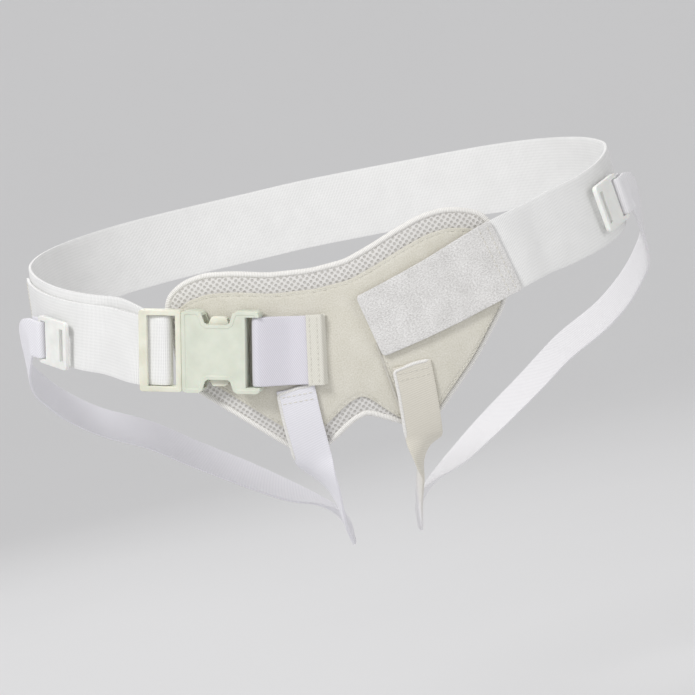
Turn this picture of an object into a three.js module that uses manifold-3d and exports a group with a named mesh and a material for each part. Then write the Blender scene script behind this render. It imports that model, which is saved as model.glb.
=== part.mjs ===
// Hernia belt in its worn form, in millimetres.
// +Z is up, the front faces -Y, and the wearer's left is +X.
// The origin is the centre of the hips, level with the belt where it crosses the two sides.
// Every cloth piece is laid on one smooth hip surface, at its own height above that surface.
import * as THREE from "three";
import { mergeVertices } from "three/addons/utils/BufferGeometryUtils.js";
import Module from "manifold-3d";

const wasm = await Module();
wasm.setup();

// Hips that the belt is fitted to
const HIP_HALF_WIDTH = 164;
const HIP_FLARE = 0.06;
const FLARE_END = -60;
const HIP_FRONT_DEPTH = 104;
const HIP_BACK_DEPTH = 118;
const HIP_ROUNDNESS = 2.3;
const SEAT_LEVEL = -20;
const SEAT_DROP = 128;

// Room between two pieces that touch, and how far in a band's edges thin out
const GAP = 0.3;
const BAND_EDGE = 1.2;

// Elastic belt round the hips, and its free end that returns from the buckle
const BELT_WIDTH = 41;
const BELT_THICK = 1.8;
const BELT_FRONT_DROP = 43;
const BELT_BACK_RISE = 28;
const BELT_END_ANGLE = -86;
const BELT_JOIN_X = 77;

// Padded front panel with its pile facing and its bound edge
const PANEL_WIDTH = 170;
const PANEL_HEIGHT = 106;
const PANEL_THICK = 3.5;
const PAD_RISE = 2.2;
const FACING_THICK = 1;
const FACING_MARGIN = 8;
const FACING_SIDE_MARGIN = 2;
const FLAP_THICK = 1;
const FLAP_MARGIN = 3.4;
const BINDING_WIDTH = 2.6;
const BINDING_LIP = 0.7;

// Self-gripping strap on the wearer's left
const GRIP_WIDTH_AT_END = 34;
const GRIP_WIDTH_AT_JOIN = 40;
const GRIP_THICK = 2;
const GRIP_START_X = 13;
const GRIP_JOIN_X = 87;

// Side-release buckle on the wearer's right
const SLOT_LENGTH = 36;
const SLOT_ROOM = 0.4;
const RAIL = 2.8;
const BUCKLE_LENGTH = 64;
const BUCKLE_THICK = 10;
const BUCKLE_LEFT_X = -101;
const BUCKLE_RIGHT_X = -41;
const BUCKLE_LEFT_DROP = 4;
const BUCKLE_RIGHT_DROP = 1.5;
const SOCKET_LENGTH = 41;
const SOCKET_WALL = 1.6;
const SOCKET_SLOT = 4.4;
const NOTCH_LENGTH = 15.5;
const NOTCH_DEPTH = 7;
const END_BAR = 3;
const SLIDER_BAR = 3.2;
const OUTER_BAR = 4.4;
const OUTER_BAR_THICK = 2.6;
const PRONG_WIDTH = 4.2;

// Doubled webbing tab that holds the buckle on the panel
const TAB_WIDTH = 35.5;
const TAB_THICK = 1.5;
const TAB_END_X = -13;

// Leg straps, the same on both sides but for how soon they turn between the legs
const STRAP_WIDTH = 20;
const STRAP_THICK = 1.4;
const STRAP_TURN_RIGHT = 82;
const STRAP_TURN_LEFT = 84;

// Clips that fasten the leg straps at the hips
const CLIP_LENGTH = 26;
const CLIP_FRAME = 2.6;
const CLIP_THICK = 2.6;
const CLIP_SLOT = 4.2;
const CLIP_WINDOW = 3.4;
const CLIP_RIGHT = { angle: 61, drop: 8 };
const CLIP_LEFT = { angle: 64, drop: 1 };

const rad = THREE.MathUtils.degToRad;
const lerp = THREE.MathUtils.lerp;
const smooth = (x, a, b) => THREE.MathUtils.smoothstep(x, a, b);
const vec = (x, y, z) => new THREE.Vector3(x, y, z);

// Hip surface: flat ovals that widen downwards and close under the seat
function halfWidth(z) {
  return HIP_HALF_WIDTH - HIP_FLARE * Math.max(z, FLARE_END);
}

function seatShare(z) {
  return Math.pow(Math.max(0, (SEAT_LEVEL - z) / SEAT_DROP), HIP_ROUNDNESS);
}

function signedPower(value, power) {
  return Math.sign(value) * Math.pow(Math.abs(value), power);
}

function onSide(degrees, z) {
  const share = Math.pow(Math.max(0, 1 - seatShare(z)), 1 / HIP_ROUNDNESS);
  const depth = Math.abs(degrees) <= 90 ? HIP_FRONT_DEPTH : HIP_BACK_DEPTH;
  const x = halfWidth(z) * share * signedPower(Math.sin(rad(degrees)), 2 / HIP_ROUNDNESS);
  const y = -depth * share * signedPower(Math.cos(rad(degrees)), 2 / HIP_ROUNDNESS);
  return vec(x, y, z);
}

function depthShare(x, z) {
  const rest = 1 - Math.pow(Math.abs(x) / halfWidth(z), HIP_ROUNDNESS) - seatShare(z);
  return Math.pow(Math.max(0, rest), 1 / HIP_ROUNDNESS);
}

function onFront(x, z) {
  return vec(x, -HIP_FRONT_DEPTH * depthShare(x, z), z);
}

function onBack(x, z) {
  return vec(x, HIP_BACK_DEPTH * depthShare(x, z), z);
}

function onUnderside(x, y) {
  const depth = y < 0 ? HIP_FRONT_DEPTH : HIP_BACK_DEPTH;
  const width = halfWidth(FLARE_END);
  const rest = 1 - Math.pow(Math.abs(x) / width, HIP_ROUNDNESS) - Math.pow(Math.abs(y) / depth, HIP_ROUNDNESS);
  return vec(x, y, SEAT_LEVEL - SEAT_DROP * Math.pow(rest, 1 / HIP_ROUNDNESS));
}

function hipField(x, y, z) {
  const depth = y < 0 ? HIP_FRONT_DEPTH : HIP_BACK_DEPTH;
  const wide = Math.pow(Math.abs(x) / halfWidth(z), HIP_ROUNDNESS);
  return wide + Math.pow(Math.abs(y) / depth, HIP_ROUNDNESS) + seatShare(z);
}

function outward(p) {
  const h = 0.5;
  return vec(
    hipField(p.x + h, p.y, p.z) - hipField(p.x - h, p.y, p.z),
    hipField(p.x, p.y + h, p.z) - hipField(p.x, p.y - h, p.z),
    hipField(p.x, p.y, p.z + h) - hipField(p.x, p.y, p.z - h),
  ).normalize();
}

function lift(p, height) {
  return p.clone().addScaledVector(outward(p), height);
}

// A station of a band: where its centreline passes, which way its face looks and how wide it is
function station(p, n, width, thick) {
  return { p, n, width, thick };
}

function curveThrough(vectors) {
  return new THREE.CatmullRomCurve3(vectors, false, "centripetal");
}

// Turns one closed row of points per section into a solid with flat ends
function loft(rows, closed = false) {
  const around = rows[0].length;
  const position = rows.flat().flatMap((p) => [p.x, p.y, p.z]);
  const index = [];
  const last = closed ? rows.length : rows.length - 1;
  for (let i = 0; i < last; i++) {
    const next = (i + 1) % rows.length;
    for (let j = 0; j < around; j++) {
      const k = (j + 1) % around;
      const a = i * around + j;
      const b = i * around + k;
      const c = next * around + j;
      const d = next * around + k;
      index.push(a, b, c, b, d, c);
    }
  }
  if (!closed) {
    const end = (rows.length - 1) * around;
    for (let j = 1; j < around - 1; j++) {
      index.push(0, j + 1, j);
      index.push(end, end + j, end + j + 1);
    }
  }
  const geometry = new THREE.BufferGeometry();
  geometry.setAttribute("position", new THREE.Float32BufferAttribute(position, 3));
  geometry.setIndex(index);
  geometry.computeVertexNormals();
  return geometry;
}

// Places along a band, as station numbers: at least each station, and no farther apart than the step
function placesAlong(stations, step) {
  const places = [];
  for (let k = 0; k < stations.length - 1; k++) {
    const count = Math.ceil(stations[k].p.distanceTo(stations[k + 1].p) / step);
    for (let j = 0; j < count; j++) places.push(k + j / count);
  }
  places.push(stations.length - 1);
  return places;
}

// Flat band with thinned edges that follows its stations
function band(stations, step) {
  const path = curveThrough(stations.map((s) => s.p));
  const faces = curveThrough(stations.map((s) => s.n));
  const rows = [];
  for (const at of placesAlong(stations, step)) {
    const t = at / (stations.length - 1);
    const k = Math.min(Math.floor(at), stations.length - 2);
    const half = lerp(stations[k].width, stations[k + 1].width, at - k) / 2;
    const thick = lerp(stations[k].thick, stations[k + 1].thick, at - k);
    const along = path.getTangent(t);
    const face = faces.getPoint(t);
    face.addScaledVector(along, -face.dot(along)).normalize();
    const across = face.clone().cross(along);
    const outline = [
      [-half, -0.25],
      [-half + BAND_EDGE, -0.5],
      [half - BAND_EDGE, -0.5],
      [half, -0.25],
      [half, 0.25],
      [half - BAND_EDGE, 0.5],
      [-half + BAND_EDGE, 0.5],
      [-half, 0.25],
    ];
    const centre = path.getPoint(t);
    rows.push(
      outline.map(([v, w]) => centre.clone().addScaledVector(across, v).addScaledVector(face, w * thick)),
    );
  }
  return loft(rows);
}

// Closed patch: a box whose corners (u, v, w) are laid on the hips by a function of the piece
function patch(columns, rows, place) {
  const geometry = new THREE.BoxGeometry(1, 1, 1, columns, rows, 1);
  geometry.deleteAttribute("normal");
  geometry.deleteAttribute("uv");
  const merged = mergeVertices(geometry, 1e-4);
  const at = merged.attributes.position;
  for (let i = 0; i < at.count; i++) {
    const p = place(at.getX(i) + 0.5, at.getY(i) + 0.5, at.getZ(i) + 0.5);
    at.setXYZ(i, p.x, p.y, p.z);
  }
  merged.computeVertexNormals();
  return merged;
}

// Solids that are joined and cut
function solid(geometry) {
  const bare = geometry.clone();
  bare.deleteAttribute("normal");
  bare.deleteAttribute("uv");
  const merged = mergeVertices(bare, 1e-4);
  const mesh = new wasm.Mesh({
    numProp: 3,
    vertProperties: new Float32Array(merged.attributes.position.array),
    triVerts: new Uint32Array(merged.index.array),
  });
  return new wasm.Manifold(mesh);
}

function geometryOf(body) {
  const mesh = body.getMesh();
  const geometry = new THREE.BufferGeometry();
  geometry.setAttribute("position", new THREE.Float32BufferAttribute(mesh.vertProperties, 3));
  geometry.setIndex([...mesh.triVerts]);
  geometry.computeVertexNormals();
  return geometry;
}

function block(x0, x1, y0, y1, z0, z1) {
  const geometry = new THREE.BoxGeometry(x1 - x0, y1 - y0, z1 - z0);
  geometry.translate((x0 + x1) / 2, (y0 + y1) / 2, (z0 + z1) / 2);
  return solid(geometry);
}

function roundBar(x, z, radius, half) {
  const geometry = new THREE.CylinderGeometry(radius, radius, 2 * half, 12);
  geometry.translate(x, 0, z);
  return solid(geometry);
}

function plate(points, z0, z1) {
  const shape = new THREE.Shape(points.map(([x, y]) => new THREE.Vector2(x, y)));
  const geometry = new THREE.ExtrudeGeometry(shape, { depth: z1 - z0, bevelEnabled: false });
  geometry.translate(0, 0, z0);
  return solid(geometry);
}

function roundedPlate(x0, x1, y0, y1, z0, z1, bevel) {
  const shape = new THREE.Shape();
  shape.moveTo(x0 + bevel, y0 + bevel);
  shape.lineTo(x1 - bevel, y0 + bevel);
  shape.lineTo(x1 - bevel, y1 - bevel);
  shape.lineTo(x0 + bevel, y1 - bevel);
  const geometry = new THREE.ExtrudeGeometry(shape, {
    depth: z1 - z0 - 2 * bevel,
    bevelThickness: bevel,
    bevelSize: bevel,
    bevelSegments: 2,
  });
  geometry.translate(0, 0, z0 + bevel);
  return solid(geometry);
}

const part = new THREE.Group();

function add(name, geometry, colour, roughness, parent = part) {
  const material = new THREE.MeshStandardMaterial({ color: colour, roughness, metalness: 0, flatShading: true });
  const mesh = new THREE.Mesh(geometry, material);
  mesh.name = name;
  parent.add(mesh);
  return mesh;
}

// Front panel outline: heights of its two edges along its width, as shares of PANEL_WIDTH and PANEL_HEIGHT
const PANEL_TOP_EDGE = [
  { across: -0.5, height: -0.03 },
  { across: -0.44, height: 0.027 },
  { across: -0.376, height: 0.042 },
  { across: -0.294, height: 0.022 },
  { across: -0.188, height: -0.021 },
  { across: -0.059, height: -0.042 },
  { across: 0.047, height: -0.033 },
  { across: 0.13, height: 0.009 },
  { across: 0.224, height: 0.066 },
  { across: 0.3, height: 0.104 },
  { across: 0.365, height: 0.114 },
  { across: 0.424, height: 0.094 },
  { across: 0.47, height: 0.061 },
  { across: 0.494, height: 0.019 },
];
const PANEL_LOW_EDGE = [
  { across: -0.5, height: -0.415 },
  { across: -0.427, height: -0.523 },
  { across: -0.347, height: -0.64 },
  { across: -0.235, height: -0.814 },
  { across: -0.171, height: -0.885 },
  { across: -0.106, height: -0.837 },
  { across: -0.033, height: -0.761 },
  { across: 0.019, height: -0.737 },
  { across: 0.118, height: -0.82 },
  { across: 0.179, height: -0.877 },
  { across: 0.235, height: -0.796 },
  { across: 0.361, height: -0.601 },
  { across: 0.494, height: -0.347 },
];
const PANEL_LEFT_X = PANEL_TOP_EDGE[0].across * PANEL_WIDTH;
const PANEL_RIGHT_X = PANEL_TOP_EDGE.at(-1).across * PANEL_WIDTH;

function edgeHeight(table, x) {
  const across = x / PANEL_WIDTH;
  let k = 0;
  while (k < table.length - 2 && table[k + 1].across < across) k++;
  const share = (across - table[k].across) / (table[k + 1].across - table[k].across);
  return PANEL_HEIGHT * lerp(table[k].height, table[k + 1].height, THREE.MathUtils.clamp(share, 0, 1));
}

const panelTop = (x) => edgeHeight(PANEL_TOP_EDGE, x);
const panelLow = (x) => edgeHeight(PANEL_LOW_EDGE, x);

// Fullness of the two padded lobes
const LOBES = [
  { across: -0.24, height: -0.48, reach: 0.17 },
  { across: 0.26, height: -0.34, reach: 0.17 },
];

function fullness(x, z) {
  const reaches = LOBES.map((lobe) => {
    const dx = (x - lobe.across * PANEL_WIDTH) / (lobe.reach * PANEL_WIDTH);
    const dz = (z - lobe.height * PANEL_HEIGHT) / (lobe.reach * PANEL_WIDTH);
    return Math.exp(-dx * dx - dz * dz);
  });
  return PAD_RISE * Math.max(...reaches);
}

// Heights above the hips at which each layer over the panel starts
const panelFace = (x, z) => GAP + PANEL_THICK + fullness(x, z);
const facingFace = (x, z) => panelFace(x, z) + GAP + FACING_THICK;
const flapFace = (x, z) => facingFace(x, z) + GAP + FLAP_THICK;

const PANEL_COLUMNS = 44;

function frontPanel() {
  return patch(PANEL_COLUMNS, 12, (u, v, w) => {
    const x = lerp(PANEL_LEFT_X, PANEL_RIGHT_X, u);
    const z = lerp(panelLow(x), panelTop(x), v);
    return lift(onFront(x, z), lerp(GAP, panelFace(x, z), w));
  });
}

function panelFacing() {
  return patch(36, 10, (u, v, w) => {
    const x = lerp(PANEL_LEFT_X + FACING_SIDE_MARGIN, PANEL_RIGHT_X - FACING_SIDE_MARGIN, u);
    const lowMargin = lerp(FACING_MARGIN, FLAP_MARGIN, smooth(x, 0, PANEL_WIDTH / 8));
    const z = lerp(panelLow(x) + lowMargin, panelTop(x) - FACING_MARGIN, v);
    const base = panelFace(x, z) + GAP;
    return lift(onFront(x, z), lerp(base, base + FACING_THICK, w));
  });
}

// Height of the belt's centreline round the hips, as shares of the front drop and the back rise
const BELT_HEIGHTS = [
  { angle: 0, right: -1, left: -0.91, rise: 0 },
  { angle: 15, right: -0.79, left: -0.63, rise: 0 },
  { angle: 30, right: -0.54, left: -0.35, rise: 0 },
  { angle: 60, right: -0.13, left: -0.06, rise: 0 },
  { angle: 90, right: 0, left: 0, rise: 0.4 },
  { angle: 135, right: 0, left: 0, rise: 0.85 },
  { angle: 180, right: 0, left: 0, rise: 1 },
];
const beltCurves = ["right", "left"].map((side) =>
  curveThrough(
    BELT_HEIGHTS.map((row) => vec(row.angle, row.rise * BELT_BACK_RISE + row[side] * BELT_FRONT_DROP, 0)),
  ),
);

function beltHeight(degrees) {
  const wanted = Math.abs(degrees);
  const beltCurve = beltCurves[degrees < 0 ? 0 : 1];
  let low = 0;
  let high = 1;
  for (let i = 0; i < 24; i++) {
    const mid = (low + high) / 2;
    if (beltCurve.getPoint(mid).x < wanted) low = mid;
    else high = mid;
  }
  return beltCurve.getPoint(low).y;
}

function angleAt(x) {
  const share = Math.abs(x) / halfWidth(-BELT_FRONT_DROP / 2);
  return Math.sign(x) * THREE.MathUtils.radToDeg(Math.asin(Math.pow(share, HIP_ROUNDNESS / 2)));
}

const beltHeightAtX = (x) => beltHeight(angleAt(x));

// Self-gripping strap: it lies on the flap, and rises over the belt's sewn end near the join
function gripFace(x, z) {
  return flapFace(x, z) + GAP + (BELT_THICK + GAP) * smooth(x, BELT_JOIN_X - 14, BELT_JOIN_X - 3);
}

function gripStrap() {
  const stations = [];
  const count = 12;
  for (let i = 0; i <= count; i++) {
    const x = lerp(GRIP_START_X, GRIP_JOIN_X, i / count);
    const z = beltHeightAtX(x);
    const base = onFront(x, z);
    const width = lerp(GRIP_WIDTH_AT_END, GRIP_WIDTH_AT_JOIN, i / count);
    stations.push(station(lift(base, gripFace(x, z) + GRIP_THICK / 2), outward(base), width, GRIP_THICK));
  }
  return band(stations, 6);
}

// Flap of pile cloth under the strap, from its slanted free edge to the panel's edge
const FLAP_EDGE = { topX: 0.065, lowX: 0.122 };

function panelFlap() {
  return patch(20, 8, (u, v, w) => {
    const start = lerp(FLAP_EDGE.lowX, FLAP_EDGE.topX, v) * PANEL_WIDTH;
    const x = lerp(start, PANEL_RIGHT_X - FLAP_MARGIN, u);
    const top = Math.min(beltHeightAtX(x) + GRIP_WIDTH_AT_END / 2 - 3, panelTop(x) - FLAP_MARGIN);
    const z = lerp(panelLow(x) + FLAP_MARGIN, top, v);
    const base = facingFace(x, z) + GAP;
    return lift(onFront(x, z), lerp(base, base + FLAP_THICK, w));
  });
}

// White edging round the whole panel, a bead just outside the panel's outline
function panelBinding() {
  const outline = [];
  const along = PANEL_COLUMNS;
  for (let i = 0; i <= along; i++) {
    const x = lerp(PANEL_LEFT_X, PANEL_RIGHT_X, i / along);
    outline.push([x, panelTop(x)]);
  }
  const sideSteps = 6;
  for (let i = 1; i < sideSteps; i++) {
    outline.push([PANEL_RIGHT_X, lerp(panelTop(PANEL_RIGHT_X), panelLow(PANEL_RIGHT_X), i / sideSteps)]);
  }
  for (let i = along; i >= 0; i--) {
    const x = lerp(PANEL_LEFT_X, PANEL_RIGHT_X, i / along);
    outline.push([x, panelLow(x)]);
  }
  for (let i = 1; i < sideSteps; i++) {
    outline.push([PANEL_LEFT_X, lerp(panelLow(PANEL_LEFT_X), panelTop(PANEL_LEFT_X), i / sideSteps)]);
  }
  const count = outline.length;
  const rows = outline.map(([x, z], i) => {
    const [x0, z0] = outline[(i + count - 1) % count];
    const [x1, z1] = outline[(i + 1) % count];
    const away = new THREE.Vector2(-(z1 - z0), x1 - x0).normalize();
    const inner = GAP + 0.1;
    const outer = inner + BINDING_WIDTH;
    const section = [
      [inner, 0],
      [inner, 1],
      [(inner + outer) / 2, 1],
      [outer, 0.75],
      [outer, 0.25],
      [(inner + outer) / 2, 0],
    ];
    return section.reverse().map(([out, w]) => {
      const px = x + away.x * out;
      const pz = z + away.y * out;
      return lift(onFront(px, pz), lerp(GAP / 2, panelFace(px, pz) + BINDING_LIP, w));
    });
  });
  return loft(rows, true);
}

// Buckle frame: x runs along the belt to the wearer's left, y up across it, z away from the body
const BUCKLE_HALF = SLOT_LENGTH / 2 + SLOT_ROOM + RAIL;

function buckleFrame() {
  const left = onFront(BUCKLE_LEFT_X, beltHeightAtX(BUCKLE_LEFT_X) - BUCKLE_LEFT_DROP);
  const right = onFront(BUCKLE_RIGHT_X, beltHeightAtX(BUCKLE_RIGHT_X) - BUCKLE_RIGHT_DROP);
  const along = right.clone().sub(left).normalize();
  const face = outward(left.clone().add(right).multiplyScalar(0.5));
  face.addScaledVector(along, -face.dot(along)).normalize();
  const up = face.clone().cross(along);
  const centre = left.clone().add(right).multiplyScalar(0.5);
  let highest = 0;
  for (let x = PANEL_LEFT_X; x <= BUCKLE_RIGHT_X + 4; x += 4) {
    for (let share = -1; share <= 1; share += 0.25) {
      const z = beltHeightAtX(x) + share * BUCKLE_HALF;
      const top = lift(onFront(x, z), facingFace(x, z));
      highest = Math.max(highest, top.sub(centre).dot(face));
    }
  }
  centre.addScaledVector(face, highest + GAP);
  const frame = new THREE.Group();
  frame.applyMatrix4(new THREE.Matrix4().makeBasis(along, up, face).setPosition(centre));
  frame.updateMatrixWorld(true);
  return frame;
}

const buckle = buckleFrame();
part.add(buckle);

function inBuckle(x, y, z) {
  return vec(x, y, z).applyMatrix4(buckle.matrixWorld);
}

function buckleWay(x, y, z) {
  return vec(x, y, z).transformDirection(buckle.matrixWorld);
}

const BUCKLE_LEFT = -BUCKLE_LENGTH / 2;
const BUCKLE_RIGHT = BUCKLE_LENGTH / 2;
const SOCKET_LEFT = BUCKLE_RIGHT - SOCKET_LENGTH;
const NOTCH_CENTRE = SOCKET_LEFT + SOCKET_LENGTH * 0.46;
const SLIDER_X = BUCKLE_LEFT + 13;
const SLIDER_Z = BUCKLE_THICK * 0.42;
const END_BAR_X = BUCKLE_RIGHT - END_BAR / 2;
const END_BAR_Z = BUCKLE_THICK / 2;
const TURN_AT_SLIDER = SLIDER_BAR / 2 + GAP + BELT_THICK / 2;
const TURN_AT_END = END_BAR / 2 + GAP + TAB_THICK / 2;

function notch(side) {
  const out = side * (BUCKLE_HALF + 1);
  const deep = side * (BUCKLE_HALF - NOTCH_DEPTH);
  const half = NOTCH_LENGTH / 2;
  const points = [
    [NOTCH_CENTRE - half - 1, out],
    [NOTCH_CENTRE - half + 1.5, deep],
    [NOTCH_CENTRE + half - 1.5, deep],
    [NOTCH_CENTRE + half + 1, out],
  ];
  return plate(side < 0 ? points : points.reverse(), -1, BUCKLE_THICK + 1);
}

function buckleSocket() {
  const half = BUCKLE_HALF;
  const slotLeft = BUCKLE_RIGHT - END_BAR - SOCKET_SLOT;
  let body = roundedPlate(SOCKET_LEFT, BUCKLE_RIGHT, -half, half, 0, BUCKLE_THICK, 1.4);
  const slotHalf = TAB_WIDTH / 2 + SLOT_ROOM;
  body = body.subtract(block(slotLeft, BUCKLE_RIGHT + 1, -slotHalf, slotHalf, -1, BUCKLE_THICK + 1));
  body = body.add(roundBar(END_BAR_X, END_BAR_Z, END_BAR / 2, slotHalf + 1));
  const mouth = slotLeft - 3;
  body = body.subtract(
    block(SOCKET_LEFT - 1, mouth, -half + 2.4, half - 2.4, SOCKET_WALL, BUCKLE_THICK - SOCKET_WALL),
  );
  return geometryOf(body.subtract(notch(1)).subtract(notch(-1)));
}

function bucklePlug() {
  const half = BUCKLE_HALF;
  const slotHalf = SLOT_LENGTH / 2 + SLOT_ROOM;
  const baseLeft = SLIDER_X + SLIDER_BAR / 2 + BELT_THICK + 3.2;
  const baseRight = SOCKET_LEFT - GAP;
  const front = BUCKLE_THICK - 0.6;
  let body = block(baseLeft, baseRight, -half, half, 1.2, front);
  for (const side of [-1, 1]) {
    const y0 = Math.min(side * slotHalf, side * half);
    const y1 = Math.max(side * slotHalf, side * half);
    body = body.add(block(BUCKLE_LEFT, baseLeft + 1, y0, y1, 2.2, front));
    body = body.add(prong(side, baseRight));
  }
  const outerBar = block(BUCKLE_LEFT, BUCKLE_LEFT + OUTER_BAR, -half, half, front - OUTER_BAR_THICK, front);
  const slider = roundBar(SLIDER_X, SLIDER_Z, SLIDER_BAR / 2, slotHalf + 1);
  const guide = block(baseRight - 1, NOTCH_CENTRE + 3, -3, 3, SOCKET_WALL + 0.8, BUCKLE_THICK - SOCKET_WALL - 0.8);
  return geometryOf(body.add(outerBar).add(slider).add(guide));
}

// A sprung arm whose rounded end shows in the notch
function prong(side, from) {
  const low = SOCKET_WALL + 0.7;
  const high = BUCKLE_THICK - SOCKET_WALL - 0.7;
  const inner = BUCKLE_HALF - NOTCH_DEPTH - PRONG_WIDTH;
  const tip = NOTCH_CENTRE + NOTCH_LENGTH / 2;
  const reach = BUCKLE_HALF - NOTCH_DEPTH * 0.35;
  const points = [
    [from - 1, side * inner],
    [tip - 2, side * inner],
    [tip - 2.6, side * (reach - 2)],
    [tip - 5, side * reach],
    [NOTCH_CENTRE - NOTCH_LENGTH / 2 + 3.6, side * reach],
    [NOTCH_CENTRE - NOTCH_LENGTH / 2 + 2.4, side * (inner + PRONG_WIDTH)],
    [from - 1, side * (inner + PRONG_WIDTH)],
  ];
  return plate(side > 0 ? points : points.reverse(), low, high);
}

// Stations of a half turn round a bar of the buckle, from the body side to the outer side
function turnStations(barX, barZ, radius, way, width, thick) {
  const stations = [];
  for (let degrees = 0; degrees <= 180; degrees += 36) {
    const x = barX + way * radius * Math.sin(rad(degrees));
    const z = barZ - radius * Math.cos(rad(degrees));
    const face = buckleWay(-way * Math.sin(rad(degrees)), 0, Math.cos(rad(degrees)));
    stations.push(station(inBuckle(x, 0, z), face, width, thick));
  }
  return stations;
}

// Height of the belt above the hips: sewn on the panel at the left, close to the body behind
function beltLift(x, z) {
  const onPanel = flapFace(x, z) + GAP;
  return lerp(onPanel, GAP, smooth(x, PANEL_RIGHT_X + 4, PANEL_RIGHT_X + 34)) + BELT_THICK / 2;
}

function hipBelt() {
  const stations = [];
  for (const x of [BELT_JOIN_X, BELT_JOIN_X + 7, BELT_JOIN_X + 14, BELT_JOIN_X + 22, BELT_JOIN_X + 32]) {
    const z = beltHeightAtX(x);
    const base = onFront(x, z);
    stations.push(station(lift(base, beltLift(x, z)), outward(base), GRIP_WIDTH_AT_JOIN - 1, BELT_THICK));
  }
  const first = angleAt(BELT_JOIN_X + 46);
  const last = 360 + angleAt(BUCKLE_LEFT_X - 15);
  const count = 26;
  for (let i = 0; i <= count; i++) {
    const full = lerp(first, last, i / count);
    const degrees = full > 180 ? full - 360 : full;
    const base = onSide(degrees, beltHeight(degrees));
    stations.push(station(lift(base, GAP + BELT_THICK / 2), outward(base), BELT_WIDTH, BELT_THICK));
  }
  const face = buckleWay(0, 0, 1);
  const innerZ = SLIDER_Z - TURN_AT_SLIDER;
  const shift = (BELT_WIDTH - SLOT_LENGTH) / 2;
  stations.push(station(inBuckle(BUCKLE_LEFT - 4, shift, innerZ - 1.5), face, BELT_WIDTH, BELT_THICK));
  stations.push(station(inBuckle(BUCKLE_LEFT + 1, 0.4, innerZ), face, SLOT_LENGTH, BELT_THICK));
  stations.push(...turnStations(SLIDER_X, SLIDER_Z, TURN_AT_SLIDER, 1, SLOT_LENGTH, BELT_THICK));
  const back = face.clone().negate();
  const underBar = BUCKLE_THICK - 0.6 - OUTER_BAR_THICK - GAP - BELT_THICK / 2;
  stations.push(station(inBuckle(BUCKLE_LEFT + OUTER_BAR, 0, underBar), back, SLOT_LENGTH, BELT_THICK));
  stations.push(station(inBuckle(BUCKLE_LEFT - 1, 0, underBar - 0.4), back, SLOT_LENGTH, BELT_THICK));
  const start = angleAt(BUCKLE_LEFT_X - 20);
  const outerLift = GAP + BELT_THICK + GAP + BELT_THICK / 2;
  for (let i = 0; i <= 5; i++) {
    const degrees = lerp(start, BELT_END_ANGLE, i / 5);
    const base = onSide(degrees, beltHeight(degrees) - shift);
    stations.push(station(lift(base, outerLift), outward(base).negate(), SLOT_LENGTH, BELT_THICK));
  }
  return band(stations, 9);
}

// Tab: one strand under the buckle's end bar, a turn round it, and one strand on top
function buckleTab() {
  const stations = [];
  const rows = [TAB_END_X, TAB_END_X - 8, TAB_END_X - 16];
  const strand = (x, height, sign) => {
    const z = beltHeightAtX(x) - BUCKLE_RIGHT_DROP;
    const base = onFront(x, z);
    const p = lift(base, facingFace(x, z) + GAP + height);
    return station(p, outward(base).multiplyScalar(sign), TAB_WIDTH, TAB_THICK);
  };
  for (const x of rows) stations.push(strand(x, TAB_THICK / 2, 1));
  stations.push(...turnStations(END_BAR_X, END_BAR_Z, TURN_AT_END, -1, TAB_WIDTH, TAB_THICK));
  for (const x of rows.reverse()) stations.push(strand(x, TAB_THICK * 1.5 + GAP, -1));
  return band(stations, 4);
}

// Leg strap route: a row for each station, its place on the hips and its turn between the legs
const STRAP_FRONT = [
  { x: 30, z: -59, right: 0, left: 0 },
  { x: 30, z: -74, right: 0, left: 0 },
  { x: 29.5, z: -88, right: 0.02, left: 0 },
  { x: 29, z: -96, right: 0.1, left: 0.06 },
  { x: 27.5, z: -104, right: 0.4, left: 0.6 },
  { x: 25.5, z: -112, right: 0.6, left: 0.97 },
  { x: 23, z: -123, right: 0.85, left: 1 },
  { x: 21, z: -134, right: 1, left: 1 },
];
const STRAP_UNDER = [
  { x: 20, y: -24, turn: 1 },
  { x: 22, y: 12, turn: 0.8 },
  { x: 31, y: 46, turn: 0.35 },
];
const STRAP_BACK = [
  { x: 50, z: -130, turn: 0.1 },
  { x: 76, z: -114, turn: 0 },
  { x: 102, z: -97, turn: 0 },
  { x: 124, z: -81, turn: 0 },
];
const STRAP_SIDE = [
  { angle: 116, z: -66 },
  { angle: 106, z: -53 },
  { angle: 96, z: -40 },
  { angle: 87, z: -28 },
];

const TURN_AT_CLIP = Math.hypot(CLIP_THICK, CLIP_FRAME) / 2 + GAP / 2 + STRAP_THICK / 2;
const CLIP_BAR_X = -CLIP_LENGTH / 2 + CLIP_FRAME / 2;

function clipPlace(side) {
  const { angle, drop } = side < 0 ? CLIP_RIGHT : CLIP_LEFT;
  const layers = side < 0 ? 2 : 1;
  const placeAt = (degrees) => onSide(side * degrees, beltHeight(side * degrees) - drop);
  const base = placeAt(angle);
  const face = outward(base);
  const along = placeAt(angle - 8).sub(base);
  along.addScaledVector(face, -along.dot(face)).normalize();
  const tailDepth = TURN_AT_CLIP + (STRAP_THICK - CLIP_THICK) / 2;
  const height = layers * (BELT_THICK + GAP) + 2 * GAP + tailDepth;
  return { centre: lift(base, height), along, face, height };
}

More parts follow.
